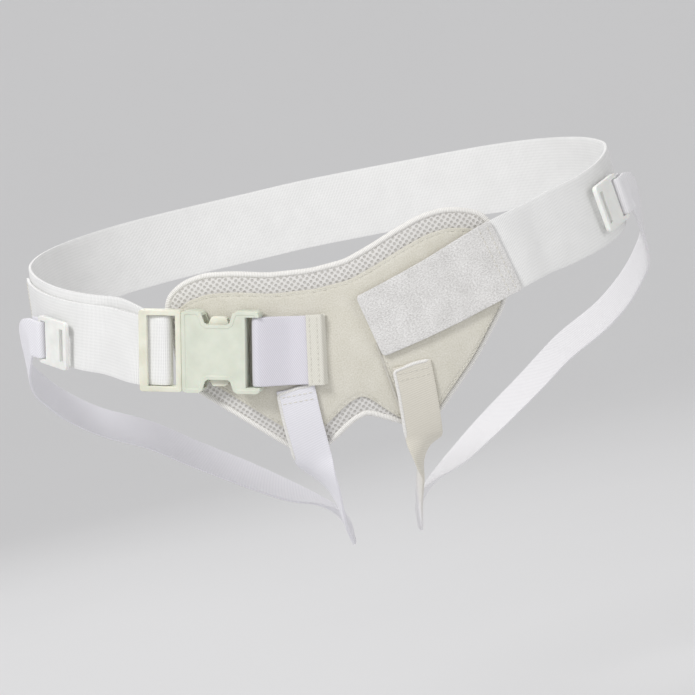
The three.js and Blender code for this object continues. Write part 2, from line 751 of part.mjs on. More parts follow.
// One leg strap from its hem on the panel, between the legs and behind the thigh, up to its clip
function legStrap(side, turnDegrees) {
  const sideName = side < 0 ? "right" : "left";
  const stations = [];
  const push = (base, height, turn) => {
    const face = outward(base);
    const p = lift(base, height);
    p.x *= side;
    face.x *= side;
    stations.push(Object.assign(station(p, face, STRAP_WIDTH, STRAP_THICK), { turn }));
  };
  for (const row of STRAP_FRONT) {
    const x = side * row.x;
    const layer = side > 0 ? flapFace(x, row.z) : facingFace(x, row.z);
    const height = lerp(layer + GAP, GAP + STRAP_THICK, smooth(-row.z, 104, 122)) + STRAP_THICK / 2;
    push(onFront(row.x, row.z), height, row[sideName]);
  }
  for (const row of STRAP_UNDER) push(onUnderside(row.x, row.y), STRAP_THICK, row.turn);
  for (const row of STRAP_BACK) push(onBack(row.x, row.z), STRAP_THICK, row.turn);
  const clip = clipPlace(side);
  const over = clip.height + CLIP_THICK / 2 + TURN_AT_CLIP;
  STRAP_SIDE.forEach((row, i) => push(onSide(row.angle, row.z), lerp(STRAP_THICK, over, (i + 1) / 4), 0));
  const path = curveThrough(stations.map((s) => s.p));
  stations.forEach((s, i) => {
    const along = path.getTangent(i / (stations.length - 1));
    s.n.applyAxisAngle(along, -side * rad(turnDegrees) * s.turn);
  });
  stations.push(...clipTurn(clip));
  return band(stations, 7);
}

// The strap's end turns round the clip's rear bar from outside and comes back under it
function clipTurn({ centre, along, face }) {
  const stations = [];
  const at = (x, z) => centre.clone().addScaledVector(along, x).addScaledVector(face, CLIP_THICK / 2 + z);
  for (const x of [CLIP_BAR_X - 9, CLIP_BAR_X - 3]) {
    stations.push(station(at(x, TURN_AT_CLIP), face.clone(), STRAP_WIDTH, STRAP_THICK));
  }
  for (let degrees = 0; degrees <= 180; degrees += 45) {
    const sin = Math.sin(rad(degrees));
    const cos = Math.cos(rad(degrees));
    const p = at(CLIP_BAR_X + TURN_AT_CLIP * sin, TURN_AT_CLIP * cos);
    const n = face.clone().multiplyScalar(cos).addScaledVector(along, sin);
    stations.push(station(p, n, STRAP_WIDTH, STRAP_THICK));
  }
  stations.push(station(at(CLIP_BAR_X - 12, -TURN_AT_CLIP), face.clone().negate(), STRAP_WIDTH, STRAP_THICK));
  return stations;
}

function strapClip(side) {
  const { centre, along, face } = clipPlace(side);
  const slotHalf = STRAP_WIDTH / 2 + SLOT_ROOM;
  const half = slotHalf + CLIP_FRAME;
  let body = roundedPlate(-CLIP_LENGTH / 2, CLIP_LENGTH / 2, -half, half, 0, CLIP_THICK, 0.6);
  const slotLeft = -CLIP_LENGTH / 2 + CLIP_FRAME;
  const windowRight = CLIP_LENGTH / 2 - CLIP_FRAME;
  body = body.subtract(block(slotLeft, slotLeft + CLIP_SLOT, -slotHalf, slotHalf, -1, CLIP_THICK + 1));
  body = body.subtract(
    block(windowRight - CLIP_WINDOW, windowRight, -slotHalf + 1.5, slotHalf - 1.5, -1, CLIP_THICK + 1),
  );
  const geometry = geometryOf(body);
  const up = face.clone().cross(along);
  geometry.applyMatrix4(new THREE.Matrix4().makeBasis(along, up, face).setPosition(centre));
  return geometry;
}

add("front_panel", frontPanel(), "#dcdad6", 0.9);
add("panel_facing", panelFacing(), "#d4d1bf", 0.95);
add("panel_flap", panelFlap(), "#cdc9b4", 0.95);
add("panel_binding", panelBinding(), "#f6f4ef", 0.7);
add("grip_strap", gripStrap(), "#cdc9c5", 0.9);
add("hip_belt", hipBelt(), "#f3f4f6", 0.8);
add("buckle_socket", buckleSocket(), "#d5dbc9", 0.45, buckle);
add("buckle_plug", bucklePlug(), "#dfe1cd", 0.45, buckle);
add("buckle_tab", buckleTab(), "#d0ccd2", 0.75);
add("leg_strap_right", legStrap(-1, STRAP_TURN_RIGHT), "#e3e1ea", 0.75);
add("leg_strap_left", legStrap(1, STRAP_TURN_LEFT), "#d6d0c2", 0.75);
add("strap_clip_right", strapClip(-1), "#f1f2ee", 0.4);
add("strap_clip_left", strapClip(1), "#f1f2ee", 0.4);

export default part;
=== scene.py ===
"""Hernia belt as it is worn: padded cloth panel, elastic belt, side-release buckle, leg straps and clips."""
from collections import namedtuple
from math import asin, ceil, copysign, cos, degrees, exp, hypot, pi, radians, sin, sqrt

import bpy
from mathutils import Matrix, Vector, noise


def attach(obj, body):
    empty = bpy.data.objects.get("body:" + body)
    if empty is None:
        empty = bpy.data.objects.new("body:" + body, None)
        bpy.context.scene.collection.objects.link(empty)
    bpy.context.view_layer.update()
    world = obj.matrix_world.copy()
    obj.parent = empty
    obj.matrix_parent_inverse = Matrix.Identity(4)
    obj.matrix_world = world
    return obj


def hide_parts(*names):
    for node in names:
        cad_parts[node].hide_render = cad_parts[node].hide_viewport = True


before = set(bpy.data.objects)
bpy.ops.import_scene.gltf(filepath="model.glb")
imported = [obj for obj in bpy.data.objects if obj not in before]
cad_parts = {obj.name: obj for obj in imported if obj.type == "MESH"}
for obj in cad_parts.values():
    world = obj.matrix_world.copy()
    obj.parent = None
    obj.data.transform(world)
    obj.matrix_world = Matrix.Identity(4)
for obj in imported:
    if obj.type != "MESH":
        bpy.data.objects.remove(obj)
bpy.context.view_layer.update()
bpy.ops.object.select_all(action="DESELECT")

MM = 0.001

# Hips that the belt is fitted to, in millimetres
HIP_HALF_WIDTH = 164
HIP_FLARE = 0.06
FLARE_END = -60
HIP_FRONT_DEPTH = 104
HIP_BACK_DEPTH = 118
HIP_ROUNDNESS = 2.3
SEAT_LEVEL = -20
SEAT_DROP = 128

GAP = 0.3

BELT_WIDTH = 41
BELT_THICK = 1.8
BELT_FRONT_DROP = 43
BELT_BACK_RISE = 28
BELT_END_ANGLE = -86
BELT_JOIN_X = 77

PANEL_WIDTH = 170
PANEL_HEIGHT = 106
PANEL_THICK = 3.5
PAD_RISE = 2.2
FACING_THICK = 1
FACING_MARGIN = 8
FACING_SIDE_MARGIN = 2
FLAP_THICK = 1
FLAP_MARGIN = 3.4
FLAP_EDGE_MARGIN = 1.1
FACING_FLAP_MARGIN = 0.7
BINDING_WIDTH = 2.6
BINDING_LIP = 0.7

GRIP_WIDTH_AT_END = 34
GRIP_WIDTH_AT_JOIN = 40
GRIP_THICK = 2
GRIP_START_X = 13
GRIP_JOIN_X = 87

SLOT_LENGTH = 36
SLOT_ROOM = 0.4
RAIL = 2.8
BUCKLE_LENGTH = 64
BUCKLE_THICK = 10
BUCKLE_LEFT_X = -101
BUCKLE_RIGHT_X = -41
BUCKLE_LEFT_DROP = 4
BUCKLE_RIGHT_DROP = 1.5
SOCKET_LENGTH = 41
SOCKET_WALL = 1.6
SOCKET_SLOT = 4.4
NOTCH_LENGTH = 15.5
NOTCH_DEPTH = 7
END_BAR = 3
SLIDER_BAR = 3.2
OUTER_BAR = 4.4
OUTER_BAR_THICK = 2.6
PRONG_WIDTH = 4.2

TAB_WIDTH = 35.5
TAB_THICK = 1.5
TAB_END_X = -13

STRAP_WIDTH = 20
STRAP_THICK = 1.4
STRAP_TURN = {"right": 82, "left": 84}

CLIP_LENGTH = 26
CLIP_FRAME = 2.6
CLIP_THICK = 2.6
CLIP_SLOT = 4.2
CLIP_WINDOW = 3.4
CLIP_PLACE = {"right": (61, 8), "left": (64, 1)}


def lerp(a, b, share):
    return a + (b - a) * share


def spread(a, b, count):
    """Evenly spaced numbers from a to b, with that many spans between them."""
    return [lerp(a, b, i / count) for i in range(count + 1)]


def smooth(x, a, b):
    share = min(max((x - a) / (b - a), 0), 1)
    return share * share * (3 - 2 * share)


def signed_power(value, power):
    return copysign(abs(value) ** power, value)


def half_width(z):
    return HIP_HALF_WIDTH - HIP_FLARE * max(z, FLARE_END)


def seat_share(z):
    return max(0, (SEAT_LEVEL - z) / SEAT_DROP) ** HIP_ROUNDNESS


def on_side(angle, z):
    share = max(0, 1 - seat_share(z)) ** (1 / HIP_ROUNDNESS)
    depth = HIP_FRONT_DEPTH if abs(angle) <= 90 else HIP_BACK_DEPTH
    x = half_width(z) * share * signed_power(sin(radians(angle)), 2 / HIP_ROUNDNESS)
    y = -depth * share * signed_power(cos(radians(angle)), 2 / HIP_ROUNDNESS)
    return Vector((x, y, z))


def depth_share(x, z):
    rest = 1 - (abs(x) / half_width(z)) ** HIP_ROUNDNESS - seat_share(z)
    return max(0, rest) ** (1 / HIP_ROUNDNESS)


def on_front(x, z):
    return Vector((x, -HIP_FRONT_DEPTH * depth_share(x, z), z))


def on_back(x, z):
    return Vector((x, HIP_BACK_DEPTH * depth_share(x, z), z))


def on_underside(x, y):
    depth = HIP_FRONT_DEPTH if y < 0 else HIP_BACK_DEPTH
    wide = (abs(x) / half_width(FLARE_END)) ** HIP_ROUNDNESS
    rest = 1 - wide - (abs(y) / depth) ** HIP_ROUNDNESS
    return Vector((x, y, SEAT_LEVEL - SEAT_DROP * rest ** (1 / HIP_ROUNDNESS)))


def hip_field(x, y, z):
    depth = HIP_FRONT_DEPTH if y < 0 else HIP_BACK_DEPTH
    wide = (abs(x) / half_width(z)) ** HIP_ROUNDNESS
    return wide + (abs(y) / depth) ** HIP_ROUNDNESS + seat_share(z)


def outward(p):
    h = 0.5
    slope = Vector((
        hip_field(p.x + h, p.y, p.z) - hip_field(p.x - h, p.y, p.z),
        hip_field(p.x, p.y + h, p.z) - hip_field(p.x, p.y - h, p.z),
        hip_field(p.x, p.y, p.z + h) - hip_field(p.x, p.y, p.z - h),
    ))
    return slope.normalized()


def lift(p, height):
    return p + outward(p) * height


def grain(p, size, seed=0):
    """Unevenness from -1 to 1 of handled cloth, with bumps about that many millimetres wide."""
    return noise.noise(Vector((p.x / size + seed, p.y / size, p.z / size)))


def curve_point(points, t):
    """Point of a centripetal curve through the points, at the share t of its spans."""
    spans = len(points) - 1
    at = spans * min(max(t, 0), 1)
    k = min(int(at), spans - 1)
    w = at - k
    p1, p2 = points[k], points[k + 1]
    p0 = points[k - 1] if k > 0 else 2 * p1 - p2
    p3 = points[k + 2] if k + 2 <= spans else 2 * p2 - p1
    before, here, after = ((b - a).length ** 0.5 for a, b in ((p0, p1), (p1, p2), (p2, p3)))
    here = here if here > 1e-4 else 1
    before = before if before > 1e-4 else here
    after = after if after > 1e-4 else here
    leaving = ((p1 - p0) / before - (p2 - p0) / (before + here) + (p2 - p1) / here) * here
    coming = ((p2 - p1) / here - (p3 - p1) / (here + after) + (p3 - p2) / after) * here
    bend = 3 * (p2 - p1) - 2 * leaving - coming
    return p1 + leaving * w + bend * w * w + (2 * (p1 - p2) + leaving + coming) * w ** 3


def curve_way(points, t):
    return (curve_point(points, min(t + 1e-4, 1)) - curve_point(points, max(t - 1e-4, 0))).normalized()


Station = namedtuple("Station", "p n width thick")
Section = namedtuple("Section", "centre along face across half thick run")


def strip_sections(stations, step):
    """Cross-sections of a strip of cloth, close enough together to bend smoothly."""
    centres = [s.p for s in stations]
    faces = [s.n for s in stations]
    last = len(stations) - 1
    sections = []
    run = 0
    for k in range(last):
        count = ceil((centres[k + 1] - centres[k]).length / step)
        for j in range(count + (k == last - 1)):
            at = k + j / count
            share = at - k
            centre = curve_point(centres, at / last)
            along = curve_way(centres, at / last)
            face = curve_point(faces, at / last)
            face = (face - along * face.dot(along)).normalized()
            if sections:
                run += (centre - sections[-1].centre).length
            half = lerp(stations[k].width, stations[k + 1].width, share) / 2
            thick = lerp(stations[k].thick, stations[k + 1].thick, share)
            sections.append(Section(centre, along, face, face.cross(along), half, thick, run))
    return sections


# Colours and materials
def paint(code):
    """sRGB hex to the linear colour that a socket takes."""
    channels = [int(code[i:i + 2], 16) / 255 for i in (1, 3, 5)]
    return [c / 12.92 if c <= 0.04045 else ((c + 0.055) / 1.055) ** 2.4 for c in channels] + [1]


def set_node(tree, node, settings, links):
    """Settings go to a ramp's tones, a socket or a property, and links join the node's sockets to others."""
    for name, value in settings.items():
        if name == "tones":
            for element, (position, code) in zip(node.color_ramp.elements, value):
                element.position = position
                element.color = paint(code)
        elif isinstance(name, int) or name in node.inputs:
            node.inputs[name].default_value = value
        else:
            setattr(node, name, value)
    for name, source in links.items():
        tree.links.new(source, node.inputs[name])
    return node


def add_node(tree, kind, settings, links):
    return set_node(tree, tree.nodes.new(kind), settings, links)


def new_material(name, on_threads=True):
    """A material, its tree and shader, and its patterns' place: along the cloth's threads or in the object."""
    material = bpy.data.materials.new(name)
    material.use_nodes = True
    tree = material.node_tree
    if on_threads:
        place = add_node(tree, "ShaderNodeUVMap", {"uv_map": "weave"}, {}).outputs["UV"]
    else:
        place = add_node(tree, "ShaderNodeTexCoord", {}, {}).outputs["Object"]
    return material, tree, tree.nodes["Principled BSDF"], place


def per_mm(millimetres):
    """Scale of a noise or cell texture whose grains are that wide."""
    return 1 / (millimetres * MM)


def ribs_per_mm(millimetres):
    """Scale of a wave texture whose bands are that far apart."""
    return pi / 10 / (millimetres * MM)


def woven_elastic():
    # Woven polyester elastic, whose covered rubber warps stand as fine ribs crossed by closer wefts: a clean
    # white band with a soft, slightly glossy grain. Real wefts are 0.5 mm apart, drawn 0.9 mm to show.
    material, tree, shader, place = new_material("woven polyester elastic, white")
    wefts = add_node(
        tree, "ShaderNodeTexWave",
        {"bands_direction": "X", "Scale": ribs_per_mm(0.9), "Distortion": 1.2, "Detail": 2,
         "Detail Scale": 1.5},
        {"Vector": place})
    warps = add_node(
        tree, "ShaderNodeTexWave", {"bands_direction": "Y", "Scale": ribs_per_mm(1.7), "Distortion": 0.4},
        {"Vector": place})
    weave = add_node(
        tree, "ShaderNodeMath", {"operation": "MULTIPLY_ADD", 1: 0.25},
        {0: warps.outputs["Fac"], 2: wefts.outputs["Fac"]})
    cloth = add_node(
        tree, "ShaderNodeValToRGB", {"tones": [(0.1, "#E2E2E1"), (0.9, "#F6F6F5")]},
        {"Fac": weave.outputs["Value"]})
    mottle = add_node(tree, "ShaderNodeTexNoise", {"Scale": per_mm(14), "Detail": 3}, {"Vector": place})
    shade = add_node(
        tree, "ShaderNodeValToRGB", {"tones": [(0.3, "#FAFAFA"), (0.7, "#FFFFFF")]},
        {"Fac": mottle.outputs["Fac"]})
    mix = add_node(
        tree, "ShaderNodeMix", {"data_type": "RGBA", "blend_type": "MULTIPLY", "Factor": 1.0},
        {6: cloth.outputs["Color"], 7: shade.outputs["Color"]})
    bump = add_node(
        tree, "ShaderNodeBump", {"Strength": 0.5, "Distance": 0.13 * MM}, {"Height": weave.outputs["Value"]})
    set_node(
        tree, shader, {"Roughness": 0.72, "Sheen Weight": 0.12},
        {"Base Color": mix.outputs[2], "Normal": bump.outputs["Normal"]})
    return material


def spacer_mesh():
    # Warp-knitted polyester spacer mesh: a matt off-white cloth pierced by staggered round holes 2.3 mm
    # apart, each about 1 mm wide and grey because the pad behind it is in shade.
    material, tree, shader, place = new_material("knitted spacer mesh, off-white")
    turned = add_node(tree, "ShaderNodeMapping", {"Rotation": (0, 0, radians(45))}, {"Vector": place})
    cells = add_node(
        tree, "ShaderNodeTexVoronoi", {"Scale": per_mm(2.3), "Randomness": 0.08, "voronoi_dimensions": "2D"},
        {"Vector": turned.outputs["Vector"]})
    rims = add_node(
        tree, "ShaderNodeMapRange", {"interpolation_type": "SMOOTHSTEP", "From Min": 0.2, "From Max": 0.42},
        {"Value": cells.outputs["Distance"]})
    knit = add_node(tree, "ShaderNodeTexNoise", {"Scale": per_mm(0.7), "Detail": 2}, {"Vector": place})
    height = add_node(
        tree, "ShaderNodeMath", {"operation": "MULTIPLY_ADD", 1: 0.25},
        {0: knit.outputs["Fac"], 2: rims.outputs["Result"]})
    cloth = add_node(
        tree, "ShaderNodeValToRGB", {"tones": [(0.05, "#BDBAB5"), (0.95, "#E0DEDB")]},
        {"Fac": height.outputs["Value"]})
    bump = add_node(
        tree, "ShaderNodeBump", {"Strength": 0.8, "Distance": 0.45 * MM}, {"Height": height.outputs["Value"]})
    set_node(
        tree, shader, {"Roughness": 0.85, "Sheen Weight": 0.15},
        {"Base Color": cloth.outputs["Color"], "Normal": bump.outputs["Normal"]})
    return material


def loop_pile(name, dark, light, grain_mm, along_stretch):
    # Brushed polyamide loop cloth: short tangled loops that scatter light, so it is matt and mottled,
    # paler where the loops stand up. Loops are 0.3 mm in the real cloth and drawn coarser to show.
    material, tree, shader, place = new_material(name)
    brushed = add_node(tree, "ShaderNodeMapping", {"Scale": (along_stretch, 1, 1)}, {"Vector": place})
    loops = add_node(
        tree, "ShaderNodeTexNoise", {"Scale": per_mm(grain_mm), "Detail": 4, "Roughness": 0.65},
        {"Vector": brushed.outputs["Vector"]})
    wear = add_node(tree, "ShaderNodeTexNoise", {"Scale": per_mm(11), "Detail": 3}, {"Vector": place})
    tone = add_node(
        tree, "ShaderNodeMath", {"operation": "MULTIPLY_ADD", 1: 0.22},
        {0: wear.outputs["Fac"], 2: loops.outputs["Fac"]})
    cloth = add_node(
        tree, "ShaderNodeValToRGB", {"tones": [(0.42, dark), (0.82, light)]}, {"Fac": tone.outputs["Value"]})
    bump = add_node(
        tree, "ShaderNodeBump", {"Strength": 0.7, "Distance": 0.35 * MM}, {"Height": loops.outputs["Fac"]})
    set_node(
        tree, shader, {"Roughness": 0.92, "Sheen Weight": 0.3, "Sheen Roughness": 0.6},
        {"Base Color": cloth.outputs["Color"], "Normal": bump.outputs["Normal"]})
    return material


def twill_tape(name, dark, light, pitch, far_tones=None):
    # Woven polyamide twill tape: diagonal ribs with a slight silky gloss, and closer wefts across them.
    # far_tones, where given, are the tape's own tones past its first 11 cm; there dark and light are painted
    # shade, drawn cream on the tape's front end.
    material, tree, shader, place = new_material(name)
    slanted = add_node(tree, "ShaderNodeMapping", {"Rotation": (0, 0, radians(32))}, {"Vector": place})
    ribs = add_node(
        tree, "ShaderNodeTexWave", {"bands_direction": "X", "Scale": ribs_per_mm(pitch), "Distortion": 0.6},
        {"Vector": slanted.outputs["Vector"]})
    wefts = add_node(
        tree, "ShaderNodeTexWave",
        {"bands_direction": "X", "Scale": ribs_per_mm(pitch * 0.6), "Distortion": 0.8}, {"Vector": place})
    weave = add_node(
        tree, "ShaderNodeMath", {"operation": "MULTIPLY_ADD", 1: 0.4},
        {0: wefts.outputs["Fac"], 2: ribs.outputs["Fac"]})
    cloth = add_node(
        tree, "ShaderNodeValToRGB", {"tones": [(0.05, dark), (1, light)]}, {"Fac": weave.outputs["Value"]})
    colour = cloth.outputs["Color"]
    # Painted shade: the first 6 cm keep the cream tones of dark and light, fading to the tape's own far_tones
    # by 11 cm.
    if far_tones:
        run = add_node(tree, "ShaderNodeSeparateXYZ", {}, {"Vector": place})
        unshaded = add_node(
            tree, "ShaderNodeMapRange", {"From Min": 60 * MM, "From Max": 110 * MM},
            {"Value": run.outputs["X"]})
        far = add_node(
            tree, "ShaderNodeValToRGB", {"tones": list(zip((0.05, 1), far_tones))},
            {"Fac": weave.outputs["Value"]})
        colour = add_node(
            tree, "ShaderNodeMix", {"data_type": "RGBA"},
            {0: unshaded.outputs["Result"], 6: colour, 7: far.outputs["Color"]}).outputs[2]
    bump = add_node(
        tree, "ShaderNodeBump", {"Strength": 0.5, "Distance": 0.14 * MM}, {"Height": weave.outputs["Value"]})
    set_node(
        tree, shader, {"Roughness": 0.62, "Sheen Weight": 0.2},
        {"Base Color": colour, "Normal": bump.outputs["Normal"]})
    return material


def overlock_edging(name, dark, light):
    # Textured polyamide yarn sewn over the edge: bright white, the yarn's close turns across the bead.
    material, tree, shader, place = new_material(name)
    turns = add_node(
        tree, "ShaderNodeTexWave",
        {"bands_direction": "X", "Scale": ribs_per_mm(0.8), "Distortion": 1.5, "Detail": 2}, {"Vector": place})
    cloth = add_node(
        tree, "ShaderNodeValToRGB", {"tones": [(0, dark), (0.8, light)]}, {"Fac": turns.outputs["Fac"]})
    bump = add_node(
        tree, "ShaderNodeBump", {"Strength": 0.6, "Distance": 0.2 * MM}, {"Height": turns.outputs["Fac"]})
    set_node(
        tree, shader, {"Roughness": 0.7, "Sheen Weight": 0.2},
        {"Base Color": cloth.outputs["Color"], "Normal": bump.outputs["Normal"]})
    return material


def moulded_plastic(name, dark, light, roughness):
    # Injection-moulded plastic: a smooth satin skin with a faint cloudiness, a little worn in its gloss.
    material, tree, shader, place = new_material(name, on_threads=False)
    clouds = add_node(tree, "ShaderNodeTexNoise", {"Scale": per_mm(9), "Detail": 3}, {"Vector": place})
    skin = add_node(tree, "ShaderNodeTexNoise", {"Scale": per_mm(0.5), "Detail": 2}, {"Vector": place})
    colour = add_node(
        tree, "ShaderNodeValToRGB", {"tones": [(0.3, dark), (0.7, light)]}, {"Fac": clouds.outputs["Fac"]})
    gloss = add_node(
        tree, "ShaderNodeMapRange", {"To Min": roughness - 0.06, "To Max": roughness + 0.1},
        {"Value": clouds.outputs["Fac"]})
    bump = add_node(
        tree, "ShaderNodeBump", {"Strength": 0.15, "Distance": 0.05 * MM}, {"Height": skin.outputs["Fac"]})
    set_node(
        tree, shader, {"IOR": 1.48, "Subsurface Weight": 0.08, "Subsurface Scale": 1.5 * MM},
        {"Base Color": colour.outputs["Color"], "Roughness": gloss.outputs["Result"],
         "Normal": bump.outputs["Normal"]})
    return material


def sewing_thread():
    # Spun polyester thread: two plies whose twist shows as slanting bands on each stitch.
    material, tree, shader, place = new_material("spun polyester thread", on_threads=False)
    twist = add_node(
        tree, "ShaderNodeTexWave", {"bands_direction": "DIAGONAL", "Scale": ribs_per_mm(0.5)},
        {"Vector": place})
    plies = add_node(
        tree, "ShaderNodeValToRGB", {"tones": [(0, "#C9C6BB"), (1, "#EFEDE4")]}, {"Fac": twist.outputs["Fac"]})
    set_node(tree, shader, {"Roughness": 0.6, "Sheen Weight": 0.2}, {"Base Color": plies.outputs["Color"]})
    return material


ELASTIC = woven_elastic()
PANEL_MESH = spacer_mesh()
PILE = loop_pile("brushed loop pile, cream", "#CCC8B8", "#E6E3DA", 0.7, 1)
GRIP = loop_pile("brushed loop cloth, warm grey", "#BDBBB8", "#F6F5F4", 0.6, 0.6)
EDGING = overlock_edging("overlocked edging yarn, white", "#DEDBD6", "#F8F7F4")
# The flap's rolled edge is this yarn drawn grey cream, darker than the pile beside it: a painted shadow line
# along the flap's free edge.
FLAP_EDGING_SHADED = overlock_edging("overlocked edging yarn, grey cream as painted shade", "#BDB9AE", "#DDDAD0")
WEBBING = twill_tape("twill webbing, lilac grey", "#CFCCD4", "#E3E1E9", 0.9)
TAPE_IVORY = twill_tape("woven hem tape, ivory", "#D3D0C3", "#E9E7DE", 0.8)
TAPE_WHITE = twill_tape("twill tape, white", "#DEDDE4", "#F1F0F5", 0.9)
# White twill tape whose front end is painted cream: painted shade, fading out between 6 and 11 cm of its run.
TAPE_WHITE_SHADED_FRONT = twill_tape("twill tape, white with painted shade on its front end", "#CFCABC", "#E2DED3", 0.9, ("#DEDDE0", "#F0EFF1"))
BUCKLE_PLASTIC = moulded_plastic("moulded acetal, pale green grey", "#D3D8C9", "#DFE3D5", 0.36)
FRAME_PLASTIC = moulded_plastic("moulded acetal, ivory", "#DEDECD", "#EBEBDC", 0.36)
CLIP_PLASTIC = moulded_plastic("moulded nylon, white", "#E9EAE6", "#F6F7F3", 0.4)
THREAD = sewing_thread()


# Making of pieces
def dress(piece, name, material, nodes=()):
    """Names a finished piece, gives it its material, and ties it to the frame."""
    piece.name = name
    piece.data.name = name
    piece.data.materials.clear()
    piece.data.materials.append(material)
    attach(piece, "root")
    if nodes:
        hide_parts(*nodes)
    piece.select_set(False)
    return piece


def only(piece):
    bpy.ops.object.select_all(action="DESELECT")
    piece.select_set(True)
    bpy.context.view_layer.objects.active = piece


def apply_modifier(piece, kind, **settings):
    only(piece)
    modifier = piece.modifiers.new(kind.lower(), kind)
    for name, value in settings.items():
        setattr(modifier, name, value)
    bpy.ops.object.modifier_apply(modifier=modifier.name)


def start_edit():
    bpy.ops.object.mode_set(mode="EDIT")
    bpy.ops.mesh.select_all(action="SELECT")


def end_edit():
    bpy.ops.object.mode_set(mode="OBJECT")


def face_outwards(piece):
    only(piece)
    start_edit()
    bpy.ops.mesh.normals_make_consistent(inside=False)
    end_edit()


def set_threads(mesh, threads):
    """UV map of the weave: each vertex's place on the flat cloth, from millimetres to metres."""
    layer = mesh.uv_layers.active
    layer.name = "weave"
    for loop in mesh.loops:
        layer.data[loop.index].uv = [c * MM for c in threads[loop.vertex_index]]


def lay_cloth(columns, rows, place, weave, edge):
    """Cloth with two faces: an extruded grid that place(u, v, w) lays, with threads from weave(u, v)."""
    bpy.ops.mesh.primitive_grid_add(x_subdivisions=columns, y_subdivisions=rows, size=1)
    piece = bpy.context.object
    start_edit()
    bpy.ops.mesh.extrude_region_move(TRANSFORM_OT_translate={"value": (0, 0, 1)})
    end_edit()
    flat = [(v.co.x + 0.5, v.co.y + 0.5, round(v.co.z)) for v in piece.data.vertices]
    for vertex, (u, v, w) in zip(piece.data.vertices, flat):
        vertex.co = place(u, v, w) * MM
    set_threads(piece.data, [weave(u, v) for u, v, _ in flat])
    face_outwards(piece)
    apply_modifier(
        piece, "BEVEL", width=edge * MM, segments=2, limit_method="ANGLE", angle_limit=radians(50))
    bpy.ops.object.shade_smooth_by_angle(angle=radians(50))
    return piece


SELVEDGE_THINNING = 0.25
WAVE_WIDTH = 16


def lay_strip(stations, step, rows, edge, wave, seed, corner=0):
    """Flat strip along its stations, thinner at its selvedges, its cut ends rounded by that corner."""
    sections = strip_sections(stations, step)
    last = len(sections) - 1

    def place(u, v, w):
        s = sections[round(u * last)]
        side = 2 * v - 1
        thick = s.thick * (1 - SELVEDGE_THINNING * abs(side) ** 10)
        short = max(corner - min(s.run, sections[-1].run - s.run), 0)
        half = s.half - corner + sqrt(corner * corner - short * short)
        p = s.centre + s.across * (side * half)
        uneven = wave * grain(p, WAVE_WIDTH, seed) * (0.4 + 0.6 * abs(side))
        return p + s.face * ((w - 0.5) * thick + uneven)

    def weave(u, v):
        s = sections[round(u * last)]
        return s.run, (2 * v - 1) * s.half

    return lay_cloth(last, rows, place, weave, edge), sections


BEAD_GIRTH = 6


def sweep(columns, around, place, closed):
    """Bead of yarn or rolled cloth: a grid rolled round a path, its doubles merged and its ends closed."""
    bpy.ops.mesh.primitive_grid_add(x_subdivisions=columns, y_subdivisions=around, size=1)
    piece = bpy.context.object
    threads = []
    for vertex in piece.data.vertices:
        u, v = vertex.co.x + 0.5, vertex.co.y + 0.5
        p, run = place(u, v)
        vertex.co = p * MM
        threads.append((run, v * BEAD_GIRTH))
    set_threads(piece.data, threads)
    start_edit()
    bpy.ops.mesh.remove_doubles(threshold=1e-6)
    if not closed:
        bpy.ops.mesh.fill_holes(sides=0)
    end_edit()
    face_outwards(piece)
    bpy.ops.object.shade_smooth_by_angle(angle=radians(60))
    return piece


def nearest_point(line, p):
    return min(range(len(line)), key=lambda i: (line[i] - p).length_squared)


def nearest_section(sections, run):
    return min(sections, key=lambda s: abs(s.run - run))


def along_path(points, pitch):
    """Evenly spaced places on a line of points: where, and how far along."""
    runs = [0.0]
    for a, b in zip(points, points[1:]):
        runs.append(runs[-1] + (b - a).length)
    count = max(2, round(runs[-1] / pitch))
    places = []
    k = 0
    for i in range(count + 1):
        run = runs[-1] * i / count
        while k < len(points) - 2 and runs[k + 1] < run:
            k += 1
        share = (run - runs[k]) / max(runs[k + 1] - runs[k], 1e-9)
        places.append((points[k].lerp(points[k + 1], share), run))
    return places


STITCH_PITCH = 2.8
STITCH_LENGTH = 2.1
STITCH_RISE = 0.12
STITCH_DIVE = 0.9
THREAD_THICK = 0.5


def sew(name, seams):
    """Rows of stitches, each a short bead half sunk in the cloth, along seams of points and outward ways."""
    bpy.ops.mesh.primitive_uv_sphere_add(segments=8, ring_count=5, radius=0.5)
    stitch = bpy.context.object
    shape = [v.co.copy() for v in stitch.data.vertices]
    faces = [list(p.vertices) for p in stitch.data.polygons]
    bpy.ops.object.delete()
    vertices = []
    polygons = []
    for line, ways in seams:
        places = [p for p, _ in along_path(line, STITCH_PITCH)]
        for start, end in zip(places, places[1:]):
            out = ways[nearest_point(line, start)]
            along = (end - start).normalized()
            face = (out - along * along.dot(out)).normalized()
            across = face.cross(along)
            middle = (start + end) / 2
            polygons += [[len(vertices) + k for k in corners] for corners in faces]
            for q in shape:
                rise = q.y * THREAD_THICK + STITCH_RISE - STITCH_DIVE * abs(q.z) ** 3
                flat = along * (q.z * STITCH_LENGTH) + across * (q.x * THREAD_THICK)
                vertices.append((middle + flat + face * rise) * MM)
    mesh = bpy.data.meshes.new(name)
    mesh.from_pydata(vertices, [], polygons)
    piece = bpy.data.objects.new(name, mesh)
    bpy.context.collection.objects.link(piece)
    only(piece)
    bpy.ops.object.shade_smooth()
    dress(piece, name, THREAD)


def cross_seam(sections, run, inset, side=1, out=None):
    """Seam across a strip at that run, on its outer face (side 1) or its back (side -1)."""
    section = nearest_section(sections, run)
    out = section.face * side if out is None else out
    line = [section.centre + section.across * (section.half - inset) * share + out * section.thick / 2
            for share in spread(-1, 1, 20)]
    return line, [out] * len(line)


